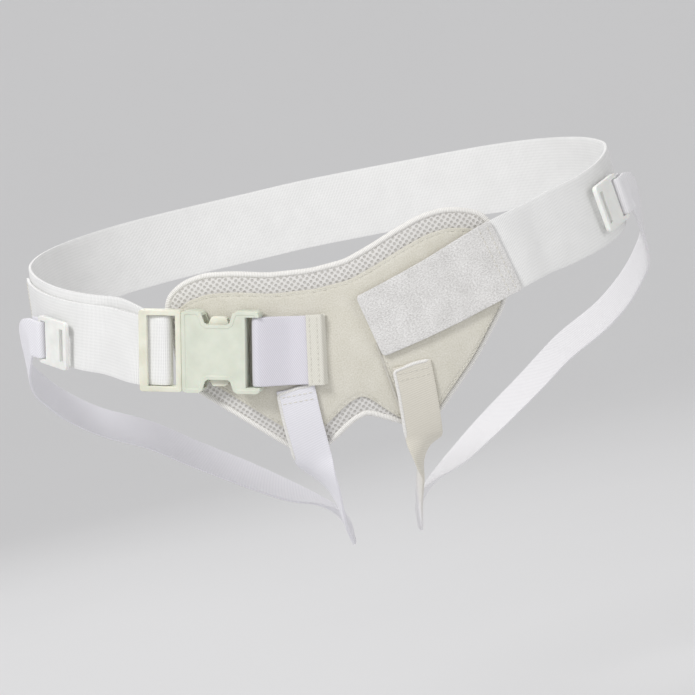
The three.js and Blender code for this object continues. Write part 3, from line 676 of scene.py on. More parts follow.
# Front panel: heights of its two edges along its width, as shares of its width and height
PANEL_TOP_EDGE = [
    (-0.5, -0.03), (-0.44, 0.027), (-0.376, 0.042), (-0.294, 0.022), (-0.188, -0.021), (-0.059, -0.042),
    (0.047, -0.033), (0.13, 0.009), (0.224, 0.066), (0.3, 0.104), (0.365, 0.114), (0.424, 0.094),
    (0.47, 0.061), (0.494, 0.019),
]
PANEL_LOW_EDGE = [
    (-0.5, -0.415), (-0.427, -0.523), (-0.347, -0.64), (-0.235, -0.814), (-0.171, -0.885), (-0.106, -0.837),
    (-0.033, -0.761), (0.019, -0.737), (0.118, -0.82), (0.179, -0.877), (0.235, -0.796), (0.361, -0.601),
    (0.494, -0.347),
]
PANEL_LEFT_X = PANEL_TOP_EDGE[0][0] * PANEL_WIDTH
PANEL_RIGHT_X = PANEL_TOP_EDGE[-1][0] * PANEL_WIDTH
EDGE_EASE = 3
PANEL_CORNER = 5
# Fullest spots over the two pads: across, height and reach, as shares of the panel's width and height
LOBES = [(-0.24, -0.48, 0.17), (0.26, -0.34, 0.17)]


def edge_height(table, x):
    across = x / PANEL_WIDTH
    for (x0, z0), (x1, z1) in zip(table, table[1:]):
        if across <= x1:
            break
    return PANEL_HEIGHT * lerp(z0, z1, min(max((across - x0) / (x1 - x0), 0), 1))


def eased_edge(table, x):
    """The edge's height with its corners eased as cloth eases them."""
    room = min(EDGE_EASE, x - PANEL_LEFT_X, PANEL_RIGHT_X - x)
    return sum(edge_height(table, x + room * share) for share in spread(-1, 1, 4)) / 5


def corner_drop(x):
    """How far the rounded corners draw the panel's edges in, near its two ends."""
    short = max(PANEL_CORNER - min(x - PANEL_LEFT_X, PANEL_RIGHT_X - x), 0)
    return PANEL_CORNER - sqrt(max(PANEL_CORNER ** 2 - short * short, 0))


def panel_top(x):
    return eased_edge(PANEL_TOP_EDGE, x) - corner_drop(x)


def panel_low(x):
    return eased_edge(PANEL_LOW_EDGE, x) + corner_drop(x)


def fullness(x, z):
    reaches = []
    for across, height, reach in LOBES:
        dx = (x - across * PANEL_WIDTH) / (reach * PANEL_WIDTH)
        dz = (z - height * PANEL_HEIGHT) / (reach * PANEL_WIDTH)
        reaches.append(exp(-dx * dx - dz * dz))
    return PAD_RISE * max(reaches)


def panel_face(x, z):
    return GAP + PANEL_THICK + fullness(x, z)


def facing_face(x, z):
    return panel_face(x, z) + GAP + FACING_THICK


def flap_face(x, z):
    return facing_face(x, z) + GAP + FLAP_THICK


def facing_low(x):
    return panel_low(x) + lerp(FACING_MARGIN, FACING_FLAP_MARGIN, smooth(x, 0, PANEL_WIDTH / 8))


def facing_top(x):
    return panel_top(x) - FACING_MARGIN


# Height of the belt's centreline round the hips: angle, right and left share of the front drop, back rise
BELT_HEIGHTS = [
    (0, -1, -0.91, 0), (15, -0.79, -0.63, 0), (30, -0.54, -0.35, 0), (60, -0.13, -0.06, 0),
    (90, 0, 0, 0.4), (135, 0, 0, 0.85), (180, 0, 0, 1),
]
BELT_LINES = {
    side: [Vector((row[0], row[3] * BELT_BACK_RISE + row[column] * BELT_FRONT_DROP, 0)) for row in BELT_HEIGHTS]
    for side, column in (("right", 1), ("left", 2))
}


def belt_height(angle):
    line = BELT_LINES["right" if angle < 0 else "left"]
    low, high = 0.0, 1.0
    for _ in range(24):
        mid = (low + high) / 2
        if curve_point(line, mid).x < abs(angle):
            low = mid
        else:
            high = mid
    return curve_point(line, low).y


def angle_at(x):
    share = abs(x) / half_width(-BELT_FRONT_DROP / 2)
    return copysign(degrees(asin(share ** (HIP_ROUNDNESS / 2))), x)


def belt_height_at(x):
    return belt_height(angle_at(x))


def grip_face(x, z):
    """The grip strap lies on the flap, and over the belt's end where the two are sewn together."""
    return flap_face(x, z) + GAP + (BELT_THICK + GAP) * smooth(x, BELT_JOIN_X - 14, BELT_JOIN_X - 3)


SEAM_INSET = 1.6
SEAM_SINK = 0.35
SEAM_REACH = 0.7
SEAM_DEPTH = 0.45
EDGE_ROLL = 0.35
PUCKER_HEIGHT = 0.16
PUCKER_REACH = 2.2


def seam_over(rows, face_at):
    """A seam over the panel, sunk in the face of its layer: its points at the (x, z) rows and their ways."""
    bases = [on_front(x, z) for x, z in rows]
    return [lift(p, face_at(p.x, p.z) - SEAM_SINK) for p in bases], [outward(p) for p in bases]


def bell(distance, reach):
    return exp(-(distance / reach) ** 2)


def hemmed(rim):
    """Dip of a sewn cloth along the seam that runs near its edge, and its rolled edge."""
    return -SEAM_DEPTH * bell(rim - SEAM_INSET, SEAM_REACH) - EDGE_ROLL * (1 - smooth(rim, 0, 0.9))


def pucker(p, rim):
    """Small gathers that the stitches pull up along a seam."""
    gathers = cos(pi * (p.x + 0.6 * p.z) / STITCH_PITCH) + grain(p, 4, 9)
    return PUCKER_HEIGHT * bell(rim - SEAM_INSET, PUCKER_REACH) * gathers


# Lie of the mesh, in millimetres: it swells inside its edge and is drawn in by the edging and the facing's seam
MESH_SWELL = 0.35
MESH_SWELL_REACH = 4
MESH_EDGE_DRAW = 0.3
MESH_SEAM_DRAW = 0.35
MESH_SEAM_REACH = 1.3
MESH_UNEVEN = 0.12


def lay_layer(columns, rows, left, right, low, top, edge, under, over):
    """Cloth over the front between two edges; under and over give its faces' heights over the hips."""
    def spot(u, v):
        x = lerp(left, right, u)
        return x, lerp(low(x), top(x), v)

    def place(u, v, w):
        x, z = spot(u, v)
        base = on_front(x, z)
        rim = min(z - low(x), top(x) - z, x - left, right - x)
        return lift(base, over(base, rim) if w else under(x, z))

    return lay_cloth(columns, rows, place, spot, edge)


def make_panel():
    def over(base, rim):
        swell = MESH_SWELL * smooth(rim, 0, MESH_SWELL_REACH) - MESH_EDGE_DRAW
        drawn = MESH_SEAM_DRAW * bell(base.z - facing_top(base.x), MESH_SEAM_REACH)
        return panel_face(base.x, base.z) + swell - drawn + MESH_UNEVEN * grain(base, 9)

    panel = lay_layer(
        150, 90, PANEL_LEFT_X, PANEL_RIGHT_X, panel_low, panel_top, 0.6, under=lambda x, z: GAP, over=over)
    dress(panel, "panel_padded", PANEL_MESH, ["front_panel"])


FACING_UNEVEN = 0.14
FACING_UNDERSIDE = 0.1


def make_facing():
    left = PANEL_LEFT_X + FACING_SIDE_MARGIN
    right = PANEL_RIGHT_X - FACING_SIDE_MARGIN

    def under(x, z):
        return panel_face(x, z) + FACING_UNDERSIDE

    def over(base, rim):
        uneven = FACING_UNEVEN * grain(base, 12, 3) + pucker(base, rim)
        return facing_face(base.x, base.z) + hemmed(rim) + uneven

    facing = lay_layer(180, 90, left, right, facing_low, facing_top, 0.3, under, over)
    dress(facing, "facing_pile", PILE, ["panel_facing"])
    first, last = left + SEAM_INSET, right - SEAM_INSET
    along = spread(first, last, 120)
    rise = spread(facing_low(first) + SEAM_INSET, facing_top(first) - SEAM_INSET, 20)
    sew("facing_stitches", [
        seam_over([(x, facing_top(x) - SEAM_INSET) for x in along], facing_face),
        seam_over([(x, facing_low(x) + SEAM_INSET) for x in along], facing_face),
        seam_over([(first, z) for z in rise], facing_face),
    ])


# The flap's free edge, where it leaves the panel's top and low edges, as shares of the panel's width
FLAP_EDGE_TOP = 0.065
FLAP_EDGE_LOW = 0.122
FLAP_SPAN = 60
FLAP_UNEVEN = 0.12
FLAP_UNDERSIDE = 0.15
ROLL_RADIUS = 0.75
ROLL_SINK = 0.45


def flap_spot(u, v):
    start = lerp(FLAP_EDGE_LOW, FLAP_EDGE_TOP, v) * PANEL_WIDTH
    x = lerp(start, PANEL_RIGHT_X - FLAP_MARGIN, u)
    top = min(belt_height_at(x) + GRIP_WIDTH_AT_END / 2 - 3, panel_top(x) - FLAP_MARGIN)
    return x, lerp(panel_low(x) + FLAP_EDGE_MARGIN, top, v)


def make_flap():
    def place(u, v, w):
        x, z = flap_spot(u, v)
        base = on_front(x, z)
        top = GAP + FLAP_THICK + hemmed(min(u, 1 - u, v) * FLAP_SPAN) + FLAP_UNEVEN * grain(base, 10, 7)
        return lift(base, facing_face(x, z) + (top if w else FLAP_UNDERSIDE))

    flap = lay_cloth(80, 80, place, flap_spot, edge=0.3)
    dress(flap, "flap_pile", PILE, ["panel_flap"])
    sew("flap_stitches", [
        seam_over([flap_spot(0.027, v) for v in spread(0.03, 0.6, 40)], flap_face),
        seam_over([flap_spot(u, 0.03) for u in spread(0.05, 0.97, 60)], flap_face),
        seam_over([flap_spot(u, 0.075) for u in spread(0.05, 0.94, 60)], flap_face),
    ])
    count = 70
    edge = [on_front(*flap_spot(0, v)) for v in spread(0.02, 0.62, count)]
    ways = [outward(p) for p in edge]
    edge = [lift(p, flap_face(p.x, p.z)) for p in edge]

    def roll(u, v):
        k = round(u * count)
        along = (edge[min(k + 1, count)] - edge[max(k - 1, 0)]).normalized()
        across = ways[k].cross(along)
        turn = 2 * pi * v
        size = ROLL_RADIUS * smooth(k, -1, 3) * smooth(count - k, -1, 3) + 0.05
        return edge[k] - ways[k] * ROLL_SINK + (across * cos(turn) + ways[k] * sin(turn)) * size, k

    # The roll's grey cream yarn is painted shade: a shadow line along the flap's free edge.
    dress(sweep(count, 10, roll, False), "flap_rolled_edge", FLAP_EDGING_SHADED)


def panel_outline():
    """The panel's outline as evenly spaced points, with its corners eased."""
    across = spread(PANEL_LEFT_X, PANEL_RIGHT_X, 170)
    loop = [Vector((x, panel_top(x), 0)) for x in across]
    loop += [Vector((x, panel_low(x), 0)) for x in reversed(across)]
    loop.append(loop[0].copy())
    places = [p for p, _ in along_path(loop, 1)][:-1]
    for _ in range(2):
        places = [
            (places[i - 1] + 2 * places[i] + places[(i + 1) % len(places)]) / 4 for i in range(len(places))]
    return places


BEAD_OVERLAP = 0.25
BEAD_FULLNESS = 0.35
YARN_TURN = 1.6
YARN_SWELL = 0.05


def make_binding():
    """Overlocked edging: a bead that bulges a little at each turn of its yarn."""
    outline = panel_outline()
    total = len(outline)
    turns = round(total / YARN_TURN)

    def place(u, v):
        at = (u % 1) * total
        k = int(at) % total
        spot = outline[k].lerp(outline[(k + 1) % total], at - int(at))
        way = outline[(k + 2) % total] - outline[k - 1]
        away = Vector((-way.y, way.x, 0)).normalized()
        turn = 2 * pi * v
        swell = 1 + YARN_SWELL * cos(2 * pi * turns * u)
        middle = GAP + BINDING_WIDTH / 2 - BEAD_OVERLAP
        out = middle + (BINDING_WIDTH / 2 + BEAD_FULLNESS) * cos(turn) * swell
        x, z = spot.x + away.x * out, spot.y + away.y * out
        top = panel_face(x, z) + BINDING_LIP
        return lift(on_front(x, z), lerp(GAP / 2, top, 0.5 + 0.5 * sin(turn) * swell)), u * total

    binding = sweep(2 * total, 12, place, True)
    dress(binding, "edging_overlock", EDGING, ["panel_binding"])


GRIP_SINK = 0.1


def make_grip_strap():
    spans = 12
    stations = []
    for x, width in zip(
            spread(GRIP_START_X, GRIP_JOIN_X, spans), spread(GRIP_WIDTH_AT_END, GRIP_WIDTH_AT_JOIN, spans)):
        base = on_front(x, belt_height_at(x))
        height = grip_face(x, base.z) + GRIP_THICK / 2 - GRIP_SINK
        stations.append(Station(lift(base, height), outward(base), width, GRIP_THICK))
    strap, sections = lay_strip(stations, step=0.7, rows=44, edge=0.7, wave=0.3, seed=5, corner=2)
    dress(strap, "grip_strap_loop", GRIP, ["grip_strap"])
    end = sections[-1].run
    sew("grip_strap_stitches", [cross_seam(sections, end - back, 2) for back in (3, 8)])


# Buckle frame: x runs along the belt to the wearer's left, y up across it, z away from the body
BUCKLE_HALF = SLOT_LENGTH / 2 + SLOT_ROOM + RAIL


def frame_matrix(along, face, centre):
    matrix = Matrix((along, face.cross(along), face)).transposed().to_4x4()
    matrix.translation = centre
    return matrix


def buckle_frame():
    """The buckle lies flat over the facing's highest point under it."""
    left = on_front(BUCKLE_LEFT_X, belt_height_at(BUCKLE_LEFT_X) - BUCKLE_LEFT_DROP)
    right = on_front(BUCKLE_RIGHT_X, belt_height_at(BUCKLE_RIGHT_X) - BUCKLE_RIGHT_DROP)
    along = (right - left).normalized()
    centre = (left + right) / 2
    face = outward(centre)
    face = (face - along * face.dot(along)).normalized()
    highest = 0
    x = PANEL_LEFT_X
    while x <= BUCKLE_RIGHT_X + 4:
        for share in spread(-1, 1, 8):
            z = belt_height_at(x) + share * BUCKLE_HALF
            highest = max(highest, (lift(on_front(x, z), facing_face(x, z)) - centre).dot(face))
        x += 4
    return frame_matrix(along, face, centre + face * (highest + GAP))


BUCKLE = buckle_frame()


def in_buckle(x, y, z):
    return BUCKLE @ Vector((x, y, z))


BUCKLE_LEFT = -BUCKLE_LENGTH / 2
BUCKLE_RIGHT = BUCKLE_LENGTH / 2
SOCKET_LEFT = BUCKLE_RIGHT - SOCKET_LENGTH
NOTCH_CENTRE = SOCKET_LEFT + SOCKET_LENGTH * 0.46
SLIDER_X = BUCKLE_LEFT + 13
SLIDER_Z = BUCKLE_THICK * 0.42
END_BAR_X = BUCKLE_RIGHT - END_BAR / 2
END_BAR_Z = BUCKLE_THICK / 2
TURN_AT_SLIDER = SLIDER_BAR / 2 + GAP + BELT_THICK / 2
TURN_AT_END = END_BAR / 2 + GAP + TAB_THICK / 2


def in_frame(frame, x, z):
    return frame.translation + frame.col[0].to_3d() * x + frame.col[2].to_3d() * z


def turn_stations(frame, bar_x, bar_z, radius, way, start, spans, width, thick):
    """Half turn of a band round a bar, towards x or -x (way), from over it (start 1) or under it (start -1)."""
    stations = []
    for turn in spread(0, pi, spans):
        x, z = way * sin(turn), start * cos(turn)
        face = frame.to_3x3() @ Vector((x, 0, z)) * start
        stations.append(Station(in_frame(frame, bar_x + radius * x, bar_z + radius * z), face, width, thick))
    return stations


def belt_lift(x, z):
    on_panel = flap_face(x, z) + GAP
    return lerp(on_panel, GAP, smooth(x, PANEL_RIGHT_X + 4, PANEL_RIGHT_X + 34)) + BELT_THICK / 2


# The belt's way: its sewn end over the panel, round the hips, through the buckle and back to its free end
BELT_JOIN_RUNS = (0, 7, 14, 22, 32)
BELT_HIP_START = BELT_JOIN_X + 46
BELT_HIP_END = BUCKLE_LEFT_X - 15
BELT_RETURN = BUCKLE_LEFT_X - 20
FRAME_FRONT = BUCKLE_THICK - 0.6
INNER_STRAND_Z = SLIDER_Z - TURN_AT_SLIDER
OUTER_STRAND_Z = FRAME_FRONT - OUTER_BAR_THICK - GAP - BELT_THICK / 2
# Slack of the outer strand as it leaves the buckle
RETURN_SLACK = (0.9, 0.2, 0, 0, 0, 0)


def belt_stations():
    stations = []

    def add(p, n, width):
        stations.append(Station(p, n, width, BELT_THICK))

    for run in BELT_JOIN_RUNS:
        x = BELT_JOIN_X + run
        base = on_front(x, belt_height_at(x))
        add(lift(base, belt_lift(x, base.z)), outward(base), GRIP_WIDTH_AT_JOIN - 1)
    for full in spread(angle_at(BELT_HIP_START), 360 + angle_at(BELT_HIP_END), 26):
        angle = full - 360 if full > 180 else full
        base = on_side(angle, belt_height(angle))
        add(lift(base, GAP + BELT_THICK / 2), outward(base), BELT_WIDTH)
    face = BUCKLE.col[2].to_3d()
    shift = (BELT_WIDTH - SLOT_LENGTH) / 2
    add(in_buckle(BUCKLE_LEFT - 4, shift, INNER_STRAND_Z - 1.7), face, SLOT_LENGTH + 1)
    add(in_buckle(BUCKLE_LEFT + 1, 0.4, INNER_STRAND_Z), face, SLOT_LENGTH)
    stations += turn_stations(BUCKLE, SLIDER_X, SLIDER_Z, TURN_AT_SLIDER, 1, -1, 5, SLOT_LENGTH, BELT_THICK)
    add(in_buckle(BUCKLE_LEFT + OUTER_BAR, 0, OUTER_STRAND_Z), -face, SLOT_LENGTH)
    add(in_buckle(BUCKLE_LEFT - 1, 0, OUTER_STRAND_Z - 0.1), -face, SLOT_LENGTH)
    for angle, slack in zip(spread(angle_at(BELT_RETURN), BELT_END_ANGLE, 5), RETURN_SLACK):
        base = on_side(angle, belt_height(angle) - shift)
        add(lift(base, 2 * GAP + 1.5 * BELT_THICK + slack), -outward(base), SLOT_LENGTH)
    return stations


def make_belt():
    belt, sections = lay_strip(belt_stations(), step=2.2, rows=26, edge=0.35, wave=0.06, seed=2, corner=2)
    dress(belt, "elastic_belt", ELASTIC, ["hip_belt"])
    end = sections[-1].run
    sew("belt_end_stitches", [cross_seam(sections, end - back, 1.5, -1) for back in (5, 8)])


# Profile of the hem over the tab's end: how far past the end, and how high over the tab's outer face
TAB_HEM = [
    (-7.5, 0.4), (-5, 0.4), (-2.5, 0.4), (-0.3, 0.4), (0.4, 0.1), (0.65, -0.7), (0.7, -1.8), (0.85, -2.7),
    (1.5, -3.1), (2.6, -3.2),
]
HEM_WIDTH = TAB_WIDTH + 1.2
HEM_THICK = 0.7


def make_tab_hem(end):
    """Ivory tape folded over the tab's end and sewn down on the panel."""
    out = -end.face
    centres = [end.centre + end.along * past + out * (TAB_THICK / 2 + height) for past, height in TAB_HEM]
    stations = []
    for centre, t in zip(centres, spread(0, 1, len(centres) - 1)):
        stations.append(Station(centre, curve_way(centres, t).cross(end.across), HEM_WIDTH, HEM_THICK))
    hem, sections = lay_strip(stations, step=0.5, rows=44, edge=0.25, wave=0.1, seed=13)
    dress(hem, "tab_end_hem", TAPE_IVORY)
    sew("tab_stitches", [cross_seam(sections, run, 1, out=out) for run in (1.6, 5.6)])


def make_tab():
    rows = [TAB_END_X, TAB_END_X - 8, TAB_END_X - 16]

    def strand(x, height, sign):
        base = on_front(x, belt_height_at(x) - BUCKLE_RIGHT_DROP)
        p = lift(base, facing_face(base.x, base.z) + GAP + height)
        return Station(p, outward(base) * sign, TAB_WIDTH, TAB_THICK)

    stations = [strand(x, TAB_THICK / 2, 1) for x in rows]
    stations += turn_stations(BUCKLE, END_BAR_X, END_BAR_Z, TURN_AT_END, -1, -1, 5, TAB_WIDTH, TAB_THICK)
    stations += [strand(x, TAB_THICK * 1.5 + GAP, -1) for x in reversed(rows)]
    tab, sections = lay_strip(stations, step=1.2, rows=40, edge=0.4, wave=0.1, seed=11)
    dress(tab, "tab_webbing", WEBBING, ["buckle_tab"])
    make_tab_hem(sections[-1])


# Leg strap route on the hips: x and height (under the body x and y), and share of the turn between the legs,
# for the front once for the right and once for the left strap. Its last rows are angles and heights.
STRAP_FRONT = [
    (30, -59, 0, 0), (30, -74, 0, 0), (29.5, -88, 0.02, 0), (29, -96, 0.1, 0.06), (27.5, -104, 0.4, 0.6),
    (25.5, -112, 0.6, 0.97), (23, -123, 0.85, 1), (21, -134, 1, 1),
]
STRAP_UNDER = [(20, -24, 1), (22, 12, 0.8), (31, 46, 0.35)]
STRAP_BACK = [(50, -130, 0.1), (76, -114, 0), (102, -97, 0), (124, -81, 0)]
STRAP_SIDE = [(116, -66), (106, -53), (96, -40), (87, -28)]
TURN_AT_CLIP = hypot(CLIP_THICK, CLIP_FRAME) / 2 + GAP / 2 + STRAP_THICK / 2
CLIP_BAR_X = -CLIP_LENGTH / 2 + CLIP_FRAME / 2
SIDES = {"right": -1, "left": 1}


def clip_frame(side):
    """The clip's frame, x along the belt to the front and z outwards, and its height over the hips."""
    sign = SIDES[side]
    angle, drop = CLIP_PLACE[side]
    layers = 2 if side == "right" else 1

    def place_at(angle):
        return on_side(sign * angle, belt_height(sign * angle) - drop)

    base = place_at(angle)
    face = outward(base)
    along = place_at(angle - 8) - base
    along = (along - face * along.dot(face)).normalized()
    tail_depth = TURN_AT_CLIP + (STRAP_THICK - CLIP_THICK) / 2
    height = layers * (BELT_THICK + GAP) + 2 * GAP + tail_depth
    return frame_matrix(along, face, lift(base, height)), height


def strap_stations(side):
    sign = SIDES[side]
    rows = []
    for x, z, right, left in STRAP_FRONT:
        layer = (flap_face if sign > 0 else facing_face)(sign * x, z)
        height = lerp(layer + GAP, GAP + STRAP_THICK, smooth(-z, 104, 122)) + STRAP_THICK / 2
        rows.append((on_front(x, z), height, left if sign > 0 else right))
    rows += [(on_underside(x, y), STRAP_THICK, turn) for x, y, turn in STRAP_UNDER]
    rows += [(on_back(x, z), STRAP_THICK, turn) for x, z, turn in STRAP_BACK]
    clip, clip_height = clip_frame(side)
    over = clip_height + CLIP_THICK / 2 + TURN_AT_CLIP
    for (angle, z), height in zip(STRAP_SIDE, spread(STRAP_THICK, over, 4)[1:]):
        rows.append((on_side(angle, z), height, 0))
    mirror = Vector((sign, 1, 1))
    centres = [lift(base, height) * mirror for base, height, _ in rows]
    stations = []
    for centre, (base, _, turn), t in zip(centres, rows, spread(0, 1, len(centres) - 1)):
        way = curve_way(centres, t)
        turning = Matrix.Rotation(-sign * radians(STRAP_TURN[side]) * turn, 3, way)
        stations.append(Station(centre, turning @ (outward(base) * mirror), STRAP_WIDTH, STRAP_THICK))

    def on_clip(x, up):
        place = in_frame(clip, x, CLIP_THICK / 2 + up * TURN_AT_CLIP)
        return Station(place, clip.col[2].to_3d() * up, STRAP_WIDTH, STRAP_THICK)

    stations += [on_clip(CLIP_BAR_X - 9, 1), on_clip(CLIP_BAR_X - 3, 1)]
    stations += turn_stations(clip, CLIP_BAR_X, CLIP_THICK / 2, TURN_AT_CLIP, 1, 1, 4, STRAP_WIDTH, STRAP_THICK)
    return stations + [on_clip(CLIP_BAR_X - 12, -1)]


def make_leg_strap(side, material):
    strap, sections = lay_strip(strap_stations(side), step=2, rows=16, edge=0.35, wave=0.1, seed=17)
    dress(strap, f"leg_strap_tape_{side}", material, [f"leg_strap_{side}"])
    sew(f"leg_strap_stitches_{side}", [cross_seam(sections, run, 1.5) for run in (3, 6.5)])
    make_strap_hem(side, sections)


STRAP_HEM_LENGTH = 44
STRAP_HEM_STEP = 0.8
STRAP_HEM_HALF_WIDTH = 0.95
STRAP_HEM_INSET = 0.4


def make_strap_hem(side, sections):
    """White rolled hem over the strap's sewn top and down its outer selvedge."""
    top = sections[0]
    outer = -1 if top.across.x > 0 else 1
    reach = top.across * (top.half - STRAP_HEM_INSET) * outer
    path = [top.centre - reach * share for share in spread(1, 0, 8)[:-1]]
    faces = [top.face] * len(path)
    for section in sections:
        if 0.5 < section.run < STRAP_HEM_LENGTH:
            path.append(section.centre + section.across * (section.half - STRAP_HEM_INSET) * outer)
            faces.append(section.face)
    line = [p for p, _ in along_path(path, STRAP_HEM_STEP)]
    for _ in range(3):
        line[1:-1] = [(line[i - 1] + 2 * line[i] + line[i + 1]) / 4 for i in range(1, len(line) - 1)]
    last = len(line) - 1

    def place(u, v):
        k = round(u * last)
        face = faces[nearest_point(path, line[k])]
        way = (line[min(k + 1, last)] - line[max(k - 1, 0)]).normalized()
        face = (face - way * face.dot(way)).normalized()
        turn = 2 * pi * v
        size = smooth(k, -1, 3) * smooth(last - k, -1, 8)
        wide = STRAP_HEM_HALF_WIDTH * cos(turn)
        high = (STRAP_THICK / 2 + 0.35) * sin(turn)
        return line[k] + (face.cross(way) * wide + face * high) * size, k * STRAP_HEM_STEP

    dress(sweep(last, 12, place, False), f"leg_strap_hem_{side}", EDGING)


# Moulded pieces are modelled in millimetres in their own frame, then laid in place
def block(x0, x1, y0, y1, z0, z1):
    bpy.ops.mesh.primitive_cube_add(size=1, location=((x0 + x1) / 2, (y0 + y1) / 2, (z0 + z1) / 2))
    bpy.ops.transform.resize(value=(x1 - x0, y1 - y0, z1 - z0), center_override=bpy.context.object.location)
    bpy.ops.object.transform_apply(location=True, rotation=True, scale=True)
    return bpy.context.object


def round_bar(x, z, radius, half):
    bpy.ops.mesh.primitive_cylinder_add(
        vertices=32, radius=radius, depth=2 * half, location=(x, 0, z), rotation=(pi / 2, 0, 0))
    bpy.ops.object.transform_apply(location=True, rotation=True, scale=True)
    return bpy.context.object


def plate(points, low, high, sunk=None):
    """Plate of an outline: a filled ring moved to the outline's points and extruded, its face sunk if asked."""
    bpy.ops.mesh.primitive_circle_add(vertices=len(points), fill_type="NGON")
    piece = bpy.context.object
    for vertex, (x, y) in zip(piece.data.vertices, points):
        vertex.co = (x, y, low)
    start_edit()
    bpy.ops.mesh.extrude_region_move(TRANSFORM_OT_translate={"value": (0, 0, high - low)})
    if sunk:
        bpy.ops.mesh.inset(thickness=sunk[0], depth=0)
        bpy.ops.mesh.inset(thickness=0.5, depth=-sunk[1])
    end_edit()
    face_outwards(piece)
    return piece


def join_solid(piece, other, how="UNION"):
    apply_modifier(piece, "BOOLEAN", operation=how, object=other, solver="EXACT")
    bpy.data.objects.remove(other)


def cut_slot(piece, x0, x1, half, high=BUCKLE_THICK + 1, low=-1):
    join_solid(piece, block(x0, x1, -half, half, low, high), "DIFFERENCE")


def finish_moulding(piece, frame_place, edge):
    apply_modifier(
        piece, "BEVEL", width=edge, segments=3, limit_method="ANGLE", angle_limit=radians(38))
    only(piece)
    start_edit()
    bpy.ops.mesh.quads_convert_to_tris(quad_method="BEAUTY", ngon_method="BEAUTY")
    end_edit()
    piece.data.transform(Matrix.Scale(MM, 4) @ frame_place)
    bpy.ops.object.shade_smooth_by_angle(angle=radians(32))


def rounded_outline(x0, x1, y0, y1, radius):
    points = []
    for cx, cy, start in (
            (x1 - radius, y1 - radius, 0), (x0 + radius, y1 - radius, 90),
            (x0 + radius, y0 + radius, 180), (x1 - radius, y0 + radius, 270)):
        for turn in spread(radians(start), radians(start + 90), 4):
            points.append((cx + radius * cos(turn), cy + radius * sin(turn)))
    return points


def make_socket():
    half = BUCKLE_HALF
    slot_left = BUCKLE_RIGHT - END_BAR - SOCKET_SLOT
    lip_right = NOTCH_CENTRE + NOTCH_LENGTH / 2
    lip_left = NOTCH_CENTRE - NOTCH_LENGTH / 2
    deep = half - NOTCH_DEPTH
    upper = [
        (BUCKLE_RIGHT, half - 2), (BUCKLE_RIGHT - 0.6, half - 0.6), (BUCKLE_RIGHT - 2, half),
        (lip_right + 2.6, half), (lip_right + 0.6, half - 1.2), (lip_right - 1, deep + 1),
        (lip_right - 2.4, deep), (lip_left + 2.4, deep), (lip_left + 1, deep + 1),
        (lip_left - 0.6, half - 1.2), (lip_left - 2.6, half),
        (SOCKET_LEFT + 2, half), (SOCKET_LEFT + 0.6, half - 0.6), (SOCKET_LEFT, half - 2),
    ]
    socket = plate(upper + [(x, -y) for x, y in reversed(upper)], 0, BUCKLE_THICK, sunk=(1.7, 0.35))
    slot_half = TAB_WIDTH / 2 + SLOT_ROOM
    cut_slot(socket, slot_left, BUCKLE_RIGHT + 1, slot_half)
    cut_slot(socket, SOCKET_LEFT - 1, slot_left - 3, half - 2.4, BUCKLE_THICK - SOCKET_WALL, SOCKET_WALL)
    join_solid(socket, round_bar(END_BAR_X, END_BAR_Z, END_BAR / 2, slot_half + 1))
    finish_moulding(socket, BUCKLE, 0.45)
    dress(socket, "buckle_female", BUCKLE_PLASTIC, ["buckle_socket"])


def prong_outline(side, start):
    inner = BUCKLE_HALF - NOTCH_DEPTH - PRONG_WIDTH
    tip = NOTCH_CENTRE + NOTCH_LENGTH / 2
    reach = BUCKLE_HALF - NOTCH_DEPTH * 0.45
    tail = NOTCH_CENTRE - NOTCH_LENGTH / 2
    points = [
        (start - 1, inner), (tip - 3, inner), (tip - 2, inner + 1), (tip - 2.4, reach - 2.6),
        (tip - 3.2, reach - 1), (tip - 5, reach), (tail + 5, reach), (tail + 3.8, reach - 0.6),
        (tail + 2.4, inner + PRONG_WIDTH), (start - 1, inner + PRONG_WIDTH),
    ]
    return [(x, side * y) for x, y in (points if side > 0 else reversed(points))]


def make_plug():
    slot_half = SLOT_LENGTH / 2 + SLOT_ROOM
    base_left = SLIDER_X + SLIDER_BAR / 2 + BELT_THICK + 3.2
    base_right = SOCKET_LEFT - GAP
    outline = rounded_outline(BUCKLE_LEFT, base_right, -BUCKLE_HALF, BUCKLE_HALF, 1.6)
    plug = plate(outline, 1.2, FRAME_FRONT)
    outer = BUCKLE_LEFT + OUTER_BAR
    cut_slot(plug, outer, base_left, slot_half)
    cut_slot(plug, BUCKLE_LEFT - 1, outer + 1, slot_half, FRAME_FRONT - OUTER_BAR_THICK)
    for side in (-1, 1):
        outline = prong_outline(side, base_right)
        join_solid(plug, plate(outline, SOCKET_WALL + 0.7, BUCKLE_THICK - SOCKET_WALL - 1.8))
    inside = SOCKET_WALL + 0.8
    join_solid(plug, block(base_right - 1, NOTCH_CENTRE + 3, -3, 3, inside, BUCKLE_THICK - inside))
    join_solid(plug, round_bar(SLIDER_X, SLIDER_Z, SLIDER_BAR / 2, slot_half + 1))
    finish_moulding(plug, BUCKLE, 0.4)
    dress(plug, "buckle_male", FRAME_PLASTIC, ["buckle_plug"])


def make_clip(side):
    slot_half = STRAP_WIDTH / 2 + SLOT_ROOM
    half = slot_half + CLIP_FRAME
    left, right = -CLIP_LENGTH / 2, CLIP_LENGTH / 2
    clip = plate(rounded_outline(left, right, -half, half, 2.2), 0, CLIP_THICK)
    slot, window = left + CLIP_FRAME, right - CLIP_FRAME
    cut_slot(clip, slot, slot + CLIP_SLOT, slot_half)
    cut_slot(clip, window - CLIP_WINDOW, window, slot_half - 1.5)
    finish_moulding(clip, clip_frame(side)[0], 0.5)
    dress(clip, f"clip_slotted_{side}", CLIP_PLASTIC, [f"strap_clip_{side}"])


